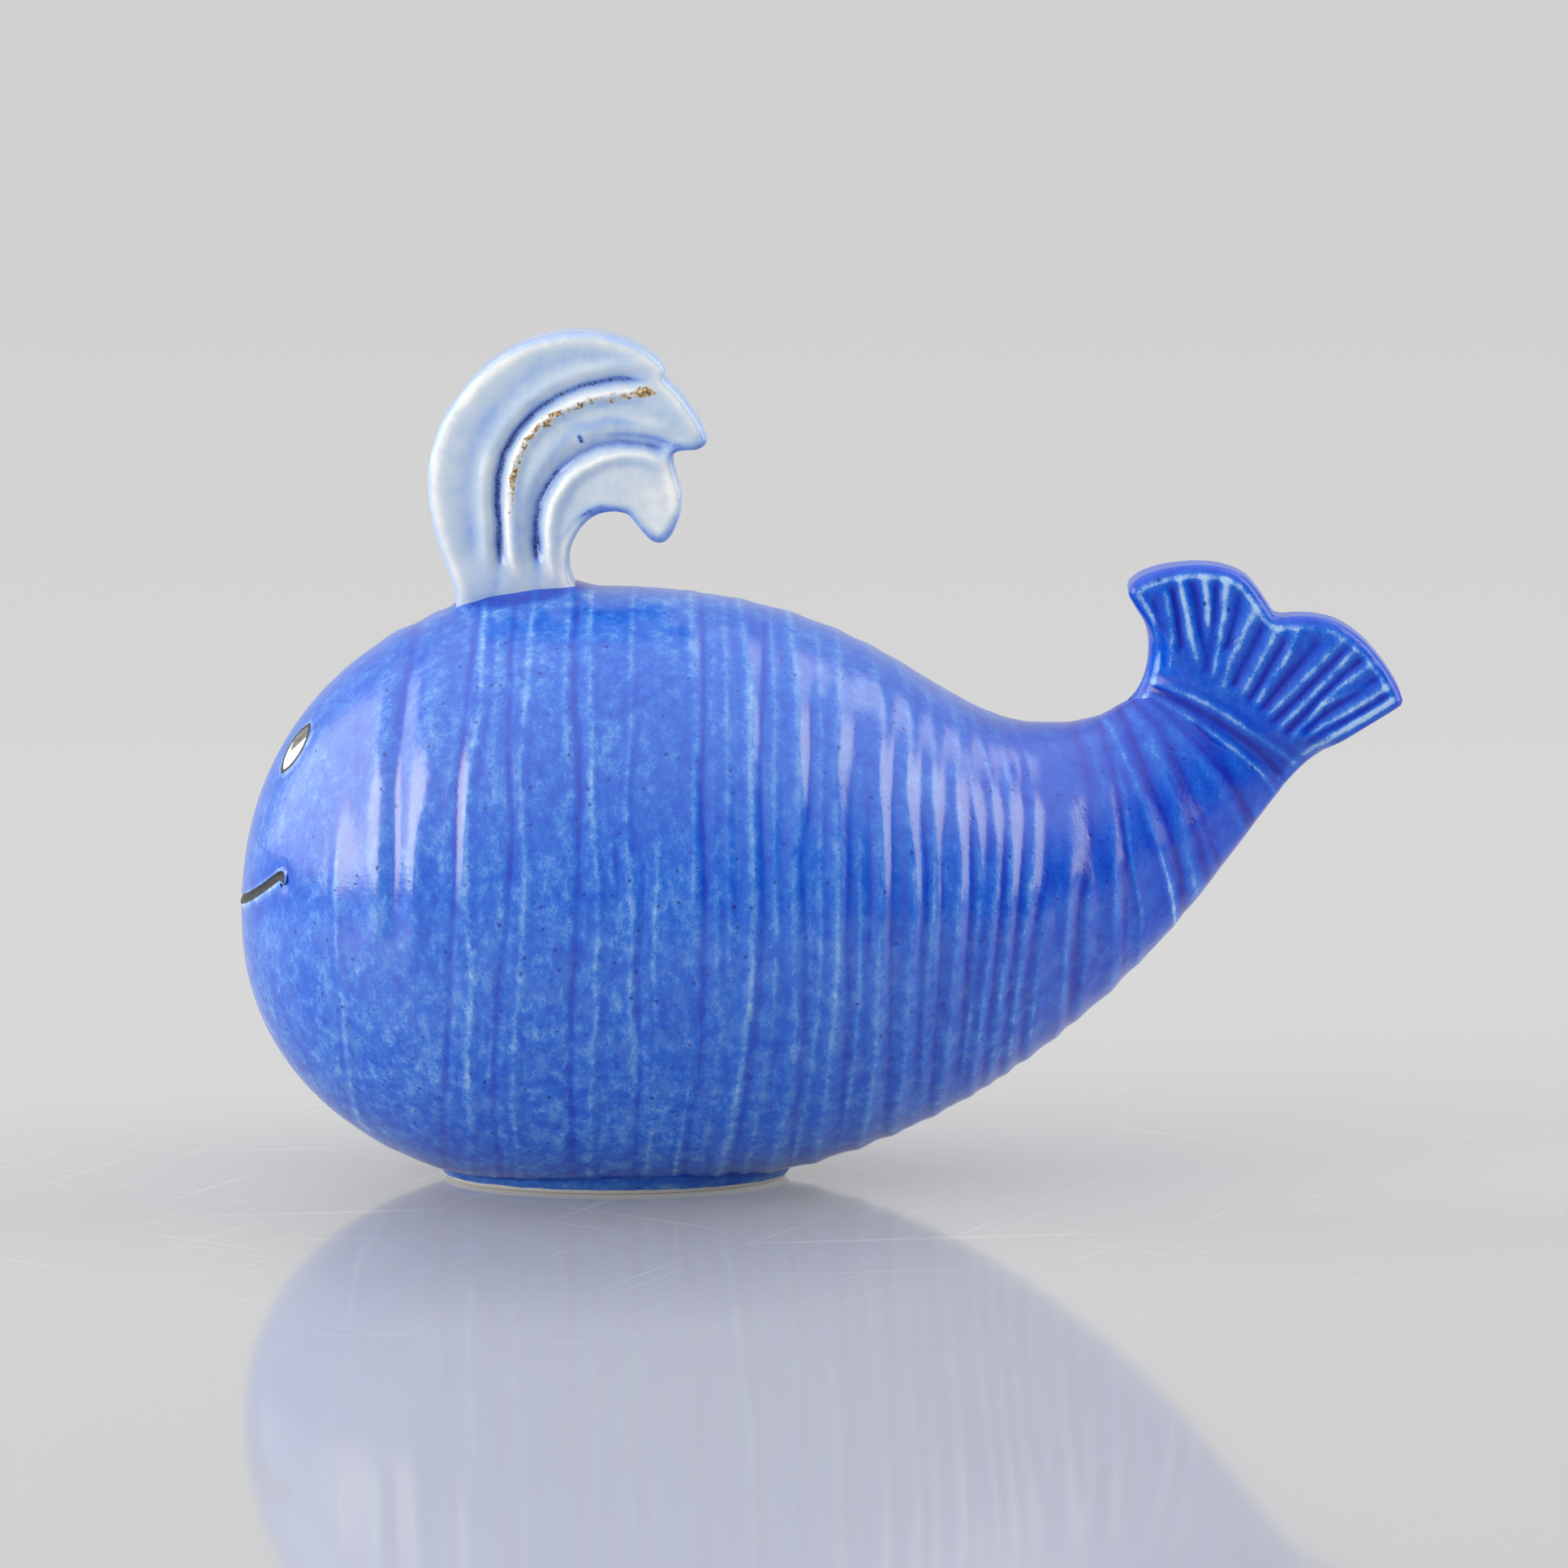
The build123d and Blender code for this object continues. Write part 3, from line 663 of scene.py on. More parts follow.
def plate_piece(name, sheet, half_height, shade, lines, rim_line, rim_width, rim_tint, wall_tint):
    """A closed plate in the mid-plane: both faces of the sheet, raised to half_height, and the wall
    between them."""
    flat, faces, gap, rim = sheet

    def place(places, y):
        return np.stack([places[:, 0], np.broadcast_to(y, len(places)), places[:, 1]], axis=1)

    half = half_height(flat, gap)
    lift, tint = carving(photo_place(place(flat, half)), lines)
    half = half + lift * smooth_step(0.3, rim_line + 0.5, gap)
    tint = (tint + shade(flat)) * smooth_step(0.3 * rim_line, rim_line + 0.3, gap)
    tint = tint + rim_tint(flat) * np.exp(-((gap - rim_line) / rim_width) ** 2)
    tint = tint + wall_tint * smooth_step(0.8 * rim_line, 0.3 * rim_line, gap)
    count = len(flat)
    points = [place(flat, -half), place(flat, half)]
    tints = [tint, tint]
    faces = faces + [tuple(i + count for i in face[::-1]) for face in faces]
    rings = [list(rim)]
    total = 2 * count
    for row in range(1, WALL_ROWS):
        points.append(place(flat[rim], half[rim] * (2 * row / WALL_ROWS - 1)))
        tints.append(np.full(len(rim), wall_tint))
        rings.append(list(range(total, total + len(rim))))
        total += len(rim)
    rings.append([i + count for i in rim])
    for upper, lower in zip(rings, rings[1:]):
        for i in range(len(rim)):
            j = (i + 1) % len(rim)
            faces.append((upper[j], upper[i], lower[i], lower[j]))
    return make_mesh(name, np.concatenate(points), faces, {"tint": np.concatenate(tints)})


def rounded_edge(gap, radius):
    """How far a rounded edge stands below the face, by distance from the outline."""
    inner = np.clip(radius - gap, 0, radius)
    return radius - np.sqrt(radius ** 2 - inner ** 2)


# The plume: half its thickness, its edge's radius, and its outline and carving in pixels
PLUME_HALF = 3.75
PLUME_EDGE = 1.1
PLUME_OUTLINE = [
    (530, 772), (546, 760), (558, 749), (563, 737), (558, 716), (549, 692), (537, 655), (531, 622),
    (529, 594), (531, 566), (537, 541), (547, 515), (562, 492), (588, 460), (623, 432), (661, 415),
    (701, 407), (741, 408), (781, 420), (808, 436), (818, 446), (821, 455), (821, 463), (829, 471),
    (843, 487), (859, 509), (868, 526), (872, 540), (869, 550), (860, 556), (848, 557), (838, 558),
    (832, 561), (831, 567), (835, 584), (840, 602), (841, 615), (839, 634), (831, 655), (823, 666),
    (814, 670), (803, 667), (791, 655), (776, 637), (766, 633), (754, 632), (736, 636), (720, 648),
    (708, 667), (703, 685), (705, 704), (712, 718), (722, 732), (727, 765),
]
FIRST_GROOVE = [
    (806, 473), (761, 470), (721, 478), (689, 491), (662, 509), (638, 535), (622, 562), (615, 592),
    (614, 621), (617, 648), (617, 675), (618, 702),
]
FIRST_RIDGE = [
    (802, 484), (761, 486), (721, 494), (684, 511), (659, 530), (643, 551), (634, 578), (629, 610),
    (626, 637), (627, 669), (633, 696), (641, 720),
]
SECOND_GROOVE = [
    (832, 559), (796, 551), (764, 547), (737, 551), (713, 562), (692, 578), (676, 600), (665, 621),
    (661, 648), (662, 672), (662, 698),
]
SECOND_RIDGE = [
    (822, 575), (796, 562), (770, 561), (745, 566), (716, 580), (696, 600), (682, 626), (675, 656),
    (677, 688), (684, 722),
]
PLUME_LINES = [
    (-0.9, -1.15, 8, FIRST_GROOVE),
    (-0.1, -0.5, 6, FIRST_GROOVE[4:]),
    (-0.1, -0.35, 10, [(617, 660), (617, 690), (610, 725), (606, 760)]),
    (-0.1, -0.35, 10, [(662, 660), (662, 690), (664, 725), (668, 760)]),
    (0.3, 0.75, 8, FIRST_RIDGE),
    (-0.9, -0.85, 10, SECOND_GROOVE),
    (-0.1, -0.5, 7, SECOND_GROOVE[5:]),
    (0.3, 0.7, 8, SECOND_RIDGE),
    (-0.25, -0.3, 16, [(780, 445), (720, 440), (660, 460), (615, 500), (585, 550), (575, 610),
        (582, 670), (592, 710)]),
    (0.1, 0.22, 9, [(600, 700), (596, 650), (595, 600), (605, 560)]),
    (-0.1, -0.42, 14, [(790, 525), (750, 520), (710, 532), (684, 560), (664, 590), (650, 630),
        (646, 670)]),
    (0.05, 0.3, 10, [(830, 530), (795, 520), (750, 512), (715, 522)]),
    (0.0, -0.75, 6, [(848, 556), (830, 550), (800, 541), (770, 538), (745, 540)]),
    (0.0, -0.9, 6, [(692, 668), (713, 640), (740, 627), (767, 631), (784, 644), (798, 661), (812, 666),
        (832, 650)]),
    (0.0, -2.2, 4, [(714, 538), (717, 543), (719, 549)]),
    (0.0, -0.28, 12, [(560, 740), (600, 738), (640, 734), (680, 727), (712, 718)]),
]


PLUME_SPACING = 0.34
PLUME_RIM = 0.66  # how white the rim is
PLUME_RIM_LINE = 1.0  # where it is whitest, by distance from the edge
PLUME_RIM_WIDTH = 0.8
PLUME_WALL = -0.5  # the tint of the wall between the faces
BLUE_DEPTH = 1.5  # how blue it is where the glaze has run
BLUE_REACH = 17
BLUE_RUNS = [
    [(728, 632), (750, 630), (772, 636), (790, 655), (806, 670), (822, 668), (836, 648)],
    [(872, 552), (855, 560), (836, 562)],
]
# Rust along the upper side of the first ridge, and its larger spots: place, size, strength
RUST_SHIFT = (2, 5)
RUST_REACH = 7.0
RUST_SPOTS = [((790, 484), 8, 0.8), ((801, 484), 7, 0.9), ((676, 514), 8, 0.5), ((662, 526), 7, 0.5),
              ((648, 545), 7, 0.5), ((634, 590), 6, 0.4), ((859, 551), 4, 1.5)]


def plume_piece(material):
    sheet = plate_sheet(drawn_outline(PLUME_OUTLINE, PLUME_HALF - PLUME_EDGE), PLUME_SPACING)

    def half_height(flat, gap):
        return PLUME_HALF - rounded_edge(gap, PLUME_EDGE)

    def shade(flat):
        foot = smooth_step(85, 81, flat[:, 1] + 0.06 * flat[:, 0])
        third_tongue = smooth_step(-7, -2, flat[:, 0]) * smooth_step(101, 99, flat[:, 1])
        return 0.36 * third_tongue - 0.08 * foot

    def rim_tint(flat):
        """White along the crest of the plume, blue where the glaze has run, under the two lower tongues."""
        places = photo_place(np.stack([flat[:, 0], np.full(len(flat), PLUME_HALF), flat[:, 1]], axis=1))
        blue = np.zeros(len(flat))
        for run in BLUE_RUNS:
            blue = np.maximum(blue, np.exp(-(line_distance(places, run)[0] / BLUE_REACH) ** 2))
        return PLUME_RIM - BLUE_DEPTH * blue

    piece = plate_piece("glazed_plume", sheet, half_height, shade, PLUME_LINES,
                        PLUME_RIM_LINE, PLUME_RIM_WIDTH, rim_tint, PLUME_WALL)
    places = photo_place(np.array([tuple(vertex.co) for vertex in piece.data.vertices]) / MM)
    gap, along = line_distance(places, np.array(FIRST_RIDGE) + RUST_SHIFT)
    rust = np.exp(-(gap / RUST_REACH) ** 2) * smooth_step(0.9, 0.6, along)
    for spot, size, strength in RUST_SPOTS:
        rust = rust + strength * np.exp(-(np.linalg.norm(places - spot, axis=1) / size) ** 2)
    add_layer(piece.data, "rust", rust)
    dress(piece, [material], "pale_glaze", "water_plume")


# The fluke: its edge's radius, its half thicknesses, its reach, and its outline and carving in pixels
FLUKE_EDGE = 1.5
FLUKE_ROOT_HALF = 5.3
FLUKE_EDGE_HALF = 3.6
FLUKE_REACH = 22.0
FLUKE_OUTLINE = [
    (1350, 892), (1364, 884), (1380, 869), (1399, 848), (1410, 824), (1414, 795), (1409, 768),
    (1396, 745), (1389, 731), (1390, 718), (1397, 710), (1408, 703), (1434, 695), (1472, 691),
    (1504, 694), (1531, 705), (1548, 723), (1561, 742), (1568, 752), (1578, 755), (1594, 754),
    (1619, 755), (1648, 763), (1677, 783), (1701, 810), (1718, 836), (1726, 855), (1726, 865),
    (1720, 872), (1692, 889), (1648, 915), (1616, 936), (1598, 952), (1584, 967), (1572, 979),
    (1556, 990),
]
FLUKE_LINES = [
    (0.3, 0.8, 4.5, [(1433, 726), (1440, 764), (1442, 783), (1440, 826)]),
    (0.34, 1.0, 5, [(1450, 709), (1456, 742), (1464, 778), (1475, 822)]),
    (0.26, 0.8, 4.5, [(1481, 708), (1485, 742), (1487, 775)]),
    (0.34, 1.0, 5, [(1511, 703), (1508, 731), (1506, 756), (1500, 792), (1492, 838)]),
    (0.34, 0.85, 5.5, [(1550, 742), (1538, 764), (1522, 797), (1511, 819), (1504, 852)]),
    (0.34, 0.9, 5.5, [(1573, 772), (1560, 797), (1549, 819), (1526, 860)]),
    (0.32, 0.85, 5.5, [(1598, 772), (1585, 808), (1569, 830), (1543, 872)]),
    (0.36, 1.0, 5, [(1660, 782), (1626, 816), (1593, 849), (1556, 886)]),
    (0.34, 1.0, 5, [(1674, 791), (1640, 830), (1615, 857), (1593, 879), (1567, 904)]),
    (0.3, 0.9, 4.5, [(1698, 811), (1659, 838), (1632, 860), (1610, 888), (1583, 917)]),
    (0.2, 0.7, 4, [(1684, 845), (1652, 858), (1626, 870)]),
    (0.3, 0.9, 4.5, [(1717, 842), (1684, 863), (1654, 882), (1626, 896), (1596, 917)]),
    (0.3, 0.8, 4.5, [(1724, 856), (1687, 879), (1645, 901), (1602, 926)]),
    (-0.3, -0.8, 8, [(1419, 735), (1426, 770), (1428, 805)]),
    (-0.4, -0.9, 8, [(1442, 720), (1449, 760), (1455, 805)]),
    (-0.4, -0.9, 9, [(1467, 714), (1474, 750), (1482, 805)]),
    (-0.4, -0.9, 8, [(1497, 712), (1496, 750), (1490, 800), (1484, 835)]),
    (-0.4, -0.9, 9, [(1527, 728), (1520, 760), (1508, 805)]),
    (-0.4, -0.9, 9, [(1558, 766), (1545, 790), (1530, 820), (1516, 850)]),
    (-0.4, -0.9, 8, [(1583, 786), (1570, 812), (1554, 838), (1535, 867)]),
    (-0.4, -0.9, 10, [(1625, 784), (1605, 812), (1578, 842), (1549, 878)]),
    (-0.4, -0.9, 8, [(1662, 795), (1632, 826), (1602, 856), (1565, 893)]),
    (-0.4, -0.9, 8, [(1682, 808), (1650, 836), (1622, 862), (1579, 907)]),
    (-0.35, -0.9, 8, [(1703, 830), (1670, 853), (1640, 873), (1600, 905)]),
    (-0.3, -0.85, 7, [(1714, 852), (1684, 872), (1648, 892), (1606, 917)]),
]


FLUKE_SPACING = 0.3
FLUKE_RIM = 0.95
FLUKE_RIM_LINE = 1.35
FLUKE_RIM_WIDTH = 0.42
FLUKE_WALL = -0.05
FLUKE_PROUD = 0.03  # how far its root stands over the tail, and how it widens behind that
BEHIND_SLOPE = 0.38
BEHIND_CURVE = 0.03
OVAL_SPAN = (-1.0, 9.0)  # where the oval root turns into a plate, by distance past the root
SUNK_DEPTH = 0.6  # its very end is sunk into the tail
SUNK_SPAN = (-2.0, -4.5)
RAY_LIFT = 0.6  # how the drawn rays and grooves are weighed
RAY_TINT = 0.76
RAY_WIDTH = 1.3
GROOVE_TINT = 1.1


def fluke_piece(material):
    outline = drawn_outline(FLUKE_OUTLINE, FLUKE_EDGE_HALF - FLUKE_EDGE)
    sheet = plate_sheet(outline, FLUKE_SPACING)

    def past_root(flat):
        return (flat - ROOT_CENTRE[[0, 2]]) @ ROOT_AXIS[[0, 2]]

    def half_height(flat, gap):
        """An oval at the root, like the tail's own section, that turns into a flat plate with a rounded
        edge."""
        along = past_root(flat)
        behind = np.maximum(0, -along)
        slimming = (FLUKE_EDGE_HALF - FLUKE_ROOT_HALF) * smooth_step(0, FLUKE_REACH, along)
        full = FLUKE_ROOT_HALF + FLUKE_PROUD + slimming
        full = full + BEHIND_SLOPE * behind + BEHIND_CURVE * behind ** 2
        radius = ROOT_WIDTH / 2 + (FLUKE_EDGE - ROOT_WIDTH / 2) * smooth_step(*OVAL_SPAN, along)
        inner = np.clip(1 - line_distance(flat, outline)[0] / radius, 0, 1)
        sunk = SUNK_DEPTH * smooth_step(*SUNK_SPAN, along)
        return full - np.minimum(radius, full) * (1 - np.sqrt(1 - inner ** 2)) - sunk

    def shade(flat):
        return 0.22 * smooth_step(1.0, 5.0, past_root(flat))

    def rim_tint(flat):
        return np.full(len(flat), FLUKE_RIM)

    lines = []
    for lift, tint, width, points in FLUKE_LINES:
        if tint > 0:
            lines.append((RAY_LIFT * lift, RAY_TINT * tint, RAY_WIDTH * width, points))
        else:
            lines.append((RAY_LIFT * lift, GROOVE_TINT * tint, width, points))
    lines += TAIL_LINES
    piece = plate_piece("glazed_fluke", sheet, half_height, shade, lines,
                        FLUKE_RIM_LINE, FLUKE_RIM_WIDTH, rim_tint, FLUKE_WALL)
    dress(piece, [material], "blue_glaze", "tail_fluke")


# The foot ring: distance outside its oval, and height
FOOT_PROFILE = [
    (-4.0, 2.6), (-4.0, 0.6), (-3.8, 0.2), (-3.4, 0.0), (-2.4, 0.0), (-1.75, 0.0), (-1.5, 0.08),
    (-1.3, 0.25), (-1.1, 0.5), (-0.85, 0.9), (-0.55, 1.4), (-0.3, 1.9), (-0.12, 2.4), (-0.15, 2.9),
    (-0.8, 3.4),
]


FOOT_COLUMNS = 240


def foot_piece(material):
    points = []
    for offset, height in FOOT_PROFILE:
        long, wide = FOOT_LENGTH / 2 + offset, FOOT_WIDTH / 2 + offset
        for step in range(FOOT_COLUMNS):
            turn = 2 * pi * step / FOOT_COLUMNS
            points.append((long * cos(turn), wide * sin(turn), height))
    faces = grid_faces(len(FOOT_PROFILE), FOOT_COLUMNS)
    last = (len(FOOT_PROFILE) - 1) * FOOT_COLUMNS
    for i in range(FOOT_COLUMNS):
        j = (i + 1) % FOOT_COLUMNS
        faces.append((last + i, last + j, j, i))
    heights = np.array(points)[:, 2]
    piece = make_mesh("glazed_foot", points, faces, {"tint": -0.5 * smooth_step(1.2, 2.2, heights)})
    dress(piece, [material], "blue_glaze", "foot_ring")


# Eyes and mouth, laid on the smooth skin
EYE_STATION = -0.62
EYE_AROUND = radians(24.5)
EYE_HEIGHT = 8.0
EYE_WIDTH = 5.9
EYE_LINE = 0.55
INNER_HEIGHT = EYE_HEIGHT - 2 * EYE_LINE
INNER_WIDTH = EYE_WIDTH - 2 * EYE_LINE
EYE_ROWS = 25
EYE_COLUMNS = 13
EYE_LOOP_STEPS = 96
EYE_LOOP_SPACING = 0.2
UNDER_LINE = 0.05  # how far the white runs under the dark line
PUPIL_WIDTH = 0.985  # as a share of the white's
PUPIL_LEAST = 0.01
OUTSIDE = 6  # how far outside the head a ray to the skin starts
WHITE_RISE = 0.05
PUPIL_RISE = 0.085
# The pupil's lower edge across the eye
PUPIL_ACROSS = [-2.2, -1.45, -1.0, -0.6, 1.35, 2.2]
PUPIL_EDGE = [0.9, -0.1, -0.55, -0.4, 1.7, 2.4]
# The dark line round the eye and the swell of glaze outside it: offset, height, tint
EYE_LINE_PROFILE = [
    (-EYE_LINE - 0.05, 0.06, 0), (-EYE_LINE + 0.06, 0.12, 0), (-0.1, 0.12, 0), (0.0, 0.08, 0.3),
    (0.08, 0.1, 0.55), (0.3, 0.09, 0.5), (0.6, 0.04, 0.2), (0.9, 0.0, 0), (1.1, -0.1, 0),
]
EYE_LINE_ROWS = 3  # the rows of faces that are dark
# The mouth's groove and the lips of glaze beside it: offset, height, tint
MOUTH_PROFILE = [
    (-1.7, -0.12, 0), (-1.25, 0.04, 0.4), (-0.85, 0.14, 0.9), (-0.68, 0.12, 0.9), (-0.58, -0.06, 0),
    (-0.32, -0.16, 0), (0.32, -0.16, 0), (0.58, -0.06, 0), (0.68, 0.08, 0.5), (0.84, 0.08, 0.4),
    (1.05, 0.03, 0.1), (1.3, -0.12, 0),
]
MOUTH_ROWS = range(3, 8)  # the rows of faces that are dark
MOUTH_BEFORE = 15  # how far before the nose its rays start
MOUTH_STEPS = np.linspace(0, -30, 121)
TICK_STEPS = np.linspace(0.15, 1, 6)
FAR_LEFT = -60
MOUTH_ROUNDS = 3  # of smoothing
MOUTH_TAPER = (-1, 5)  # the points over which it tapers at each end


def on_skin(skin, start, direction):
    """The point and the outward normal where a ray meets the smooth skin."""
    direction = Vector(direction).normalized()
    hit, normal, index, length = skin.ray_cast(Vector(start), direction)
    if normal.dot(direction) > 0:
        normal = -normal
    return np.array(hit), np.array(normal)


def eye_frame():
    """The eye's middle on the left of the head, and its level, upward and outward directions there."""
    step = 0.01
    place = skin_point(EYE_STATION, EYE_AROUND)
    back = skin_point(EYE_STATION + step, EYE_AROUND) - place
    down = skin_point(EYE_STATION, EYE_AROUND + step) - place
    outward = unit(np.cross(down, back))
    level = unit(np.cross([0, 0, 1], outward))
    return place, level, np.cross(outward, level), outward


def half_almond(share, height, width):
    """Half the width of an almond at a height from -1 to 1 of its half height."""
    radius = ((height / 2) ** 2 + (width / 2) ** 2) / width
    return np.sqrt(np.maximum(0, radius ** 2 - (share * height / 2) ** 2)) - (radius - width / 2)


def eye_points(skin, places, heights, side):
    """Points on the head over places on the eye's plane, raised by heights; side is 1 left, -1 right."""
    centre, level, up, outward = eye_frame()
    points = []
    for (across, rise), height in zip(places, heights):
        start = centre + level * across + up * rise + outward * OUTSIDE
        hit, normal = on_skin(skin, start, -outward)
        points.append(hit + outward * height)
    points = np.array(points)
    points[:, 1] *= side
    return points


def turned(faces, side):
    return faces if side > 0 else [face[::-1] for face in faces]


def white_piece(skin, label, side, white):
    places = []
    for row in np.linspace(-1, 1, EYE_ROWS):
        reach = half_almond(row, INNER_HEIGHT, INNER_WIDTH) + UNDER_LINE
        for column in np.linspace(-1, 1, EYE_COLUMNS):
            places.append((reach * column, row * INNER_HEIGHT / 2))
    points = eye_points(skin, places, [WHITE_RISE] * len(places), side)
    faces = turned(grid_faces(EYE_ROWS, EYE_COLUMNS, False), side)
    piece = make_mesh(label + "_eye_white_enamel", points, faces)
    dress(piece, [white], "white_enamel", label + "_eye_white")


def pupil_piece(skin, label, side, pupil):
    half_width = INNER_WIDTH / 2
    radius = ((INNER_HEIGHT / 2) ** 2 + half_width ** 2) / INNER_WIDTH
    places = []
    for across in np.linspace(-half_width * PUPIL_WIDTH, half_width * PUPIL_WIDTH, EYE_ROWS):
        top = np.sqrt(max(0, radius ** 2 - (abs(across) + radius - half_width) ** 2))
        low = np.interp(across, PUPIL_ACROSS, PUPIL_EDGE)
        low = min(max(low, -top), top - PUPIL_LEAST)
        for share in np.linspace(0, 1, EYE_COLUMNS):
            places.append((across, low + (top - low) * share))
    points = eye_points(skin, places, [PUPIL_RISE] * len(places), side)
    faces = turned(grid_faces(EYE_ROWS, EYE_COLUMNS, False), -side)
    piece = make_mesh(label + "_eye_pupil_enamel", points, faces)
    dress(piece, [pupil], "pupil_enamel", label + "_eye_pupil")


def eye_line_piece(skin, label, side, glaze, dark):
    loop = []
    for step in range(EYE_LOOP_STEPS):
        turn = 2 * pi * step / EYE_LOOP_STEPS
        share = cos(turn)
        reach = half_almond(share, EYE_HEIGHT, EYE_WIDTH) * (1 if sin(turn) >= 0 else -1)
        loop.append((reach, share * EYE_HEIGHT / 2))
    loop = resample(np.array(loop), EYE_LOOP_SPACING)
    count = len(loop)
    outward = to_the_left(np.roll(loop, -1, axis=0) - np.roll(loop, 1, axis=0))
    outward *= np.sign(np.sum(outward * loop, axis=1).mean())
    places, heights, tints = [], [], []
    for offset, height, tint in EYE_LINE_PROFILE:
        places.extend(loop + outward * offset)
        heights.extend([height] * count)
        tints.extend([tint] * count)
    points = eye_points(skin, places, heights, side)
    faces = turned(grid_faces(len(EYE_LINE_PROFILE), count), side)
    piece = make_mesh(label + "_eye_line_enamel", points, faces, {"tint": tints})
    dress(piece, [dark, glaze], "dark_enamel", label + "_eye_outline")
    for index, polygon in enumerate(piece.data.polygons):
        polygon.material_index = 0 if index // count < EYE_LINE_ROWS else 1


def mouth_spine(skin):
    """Points and normals on the smooth skin from the middle of the mouth to its left corner and tick."""
    slope = unit(np.array([MOUTH_CORNER[0] - MOUTH_FRONT[0], 0, MOUTH_CORNER[1] - MOUTH_FRONT[1]]))
    front = np.array([MOUTH_FRONT[0], 0, MOUTH_FRONT[1]]) - slope * MOUTH_BEFORE
    corner = np.array([MOUTH_CORNER[0], 0, MOUTH_CORNER[1]])
    reach = (corner - front) @ slope
    spine = []
    for y in MOUTH_STEPS:
        hit, normal = on_skin(skin, front + [0, y, 0], slope)
        if (hit - front) @ slope > reach:
            break
        spine.append((hit, normal))
    for share in TICK_STEPS:
        x = MOUTH_CORNER[0] + (MOUTH_TICK[0] - MOUTH_CORNER[0]) * share
        z = MOUTH_CORNER[1] + (MOUTH_TICK[1] - MOUTH_CORNER[1]) * share
        spine.append(on_skin(skin, (x, FAR_LEFT, z), (0, 1, 0)))
    return np.array([point for point, normal in spine]), np.array([normal for point, normal in spine])


def mouth_piece(skin, glaze, dark):
    halves = []
    for values in mouth_spine(skin):
        for turn in range(MOUTH_ROUNDS):
            values[1:-1] = (values[:-2] + 2 * values[1:-1] + values[2:]) / 4
        halves.append(np.concatenate([values[:0:-1] * [1, -1, 1], values]))
    path, normals = halves[0], unit(halves[1])
    across = unit(np.cross(normals, np.gradient(path, axis=0)))
    across *= np.sign(across[:, 2]).mean() or 1
    from_end = np.minimum(np.arange(len(path)), np.arange(len(path))[::-1])
    taper = smooth_step(*MOUTH_TAPER, from_end)
    points, tints = [], []
    for offset, height, tint in MOUTH_PROFILE:
        points.append(path + across * (offset * taper)[:, None] + normals * height)
        tints.append(np.full(len(path), tint))
    faces = grid_faces(len(MOUTH_PROFILE), len(path), False)
    piece = make_mesh("mouth_line_enamel", np.concatenate(points), faces, {"tint": np.concatenate(tints)})
    dress(piece, [glaze, dark], "dark_enamel", "mouth_line")
    count = len(path) - 1
    for index, polygon in enumerate(piece.data.polygons):
        polygon.material_index = 1 if index // count in MOUTH_ROWS else 0


# Materials

def linear(red, green, blue):
    """A colour given as 0 to 255 in a picture, as the shader's own values."""
    out = []
    for value in (red, green, blue):
        value /= 255
        out.append(value / 12.92 if value <= 0.04045 else ((value + 0.055) / 1.055) ** 2.4)
    return (*out, 1.0)


def shades(*stops):
    """A ramp's stops, each given as a position and a colour from 0 to 255."""
    return [(position, linear(*colour)) for position, *colour in stops]


def grey(level):
    return (level, level, level, 1)


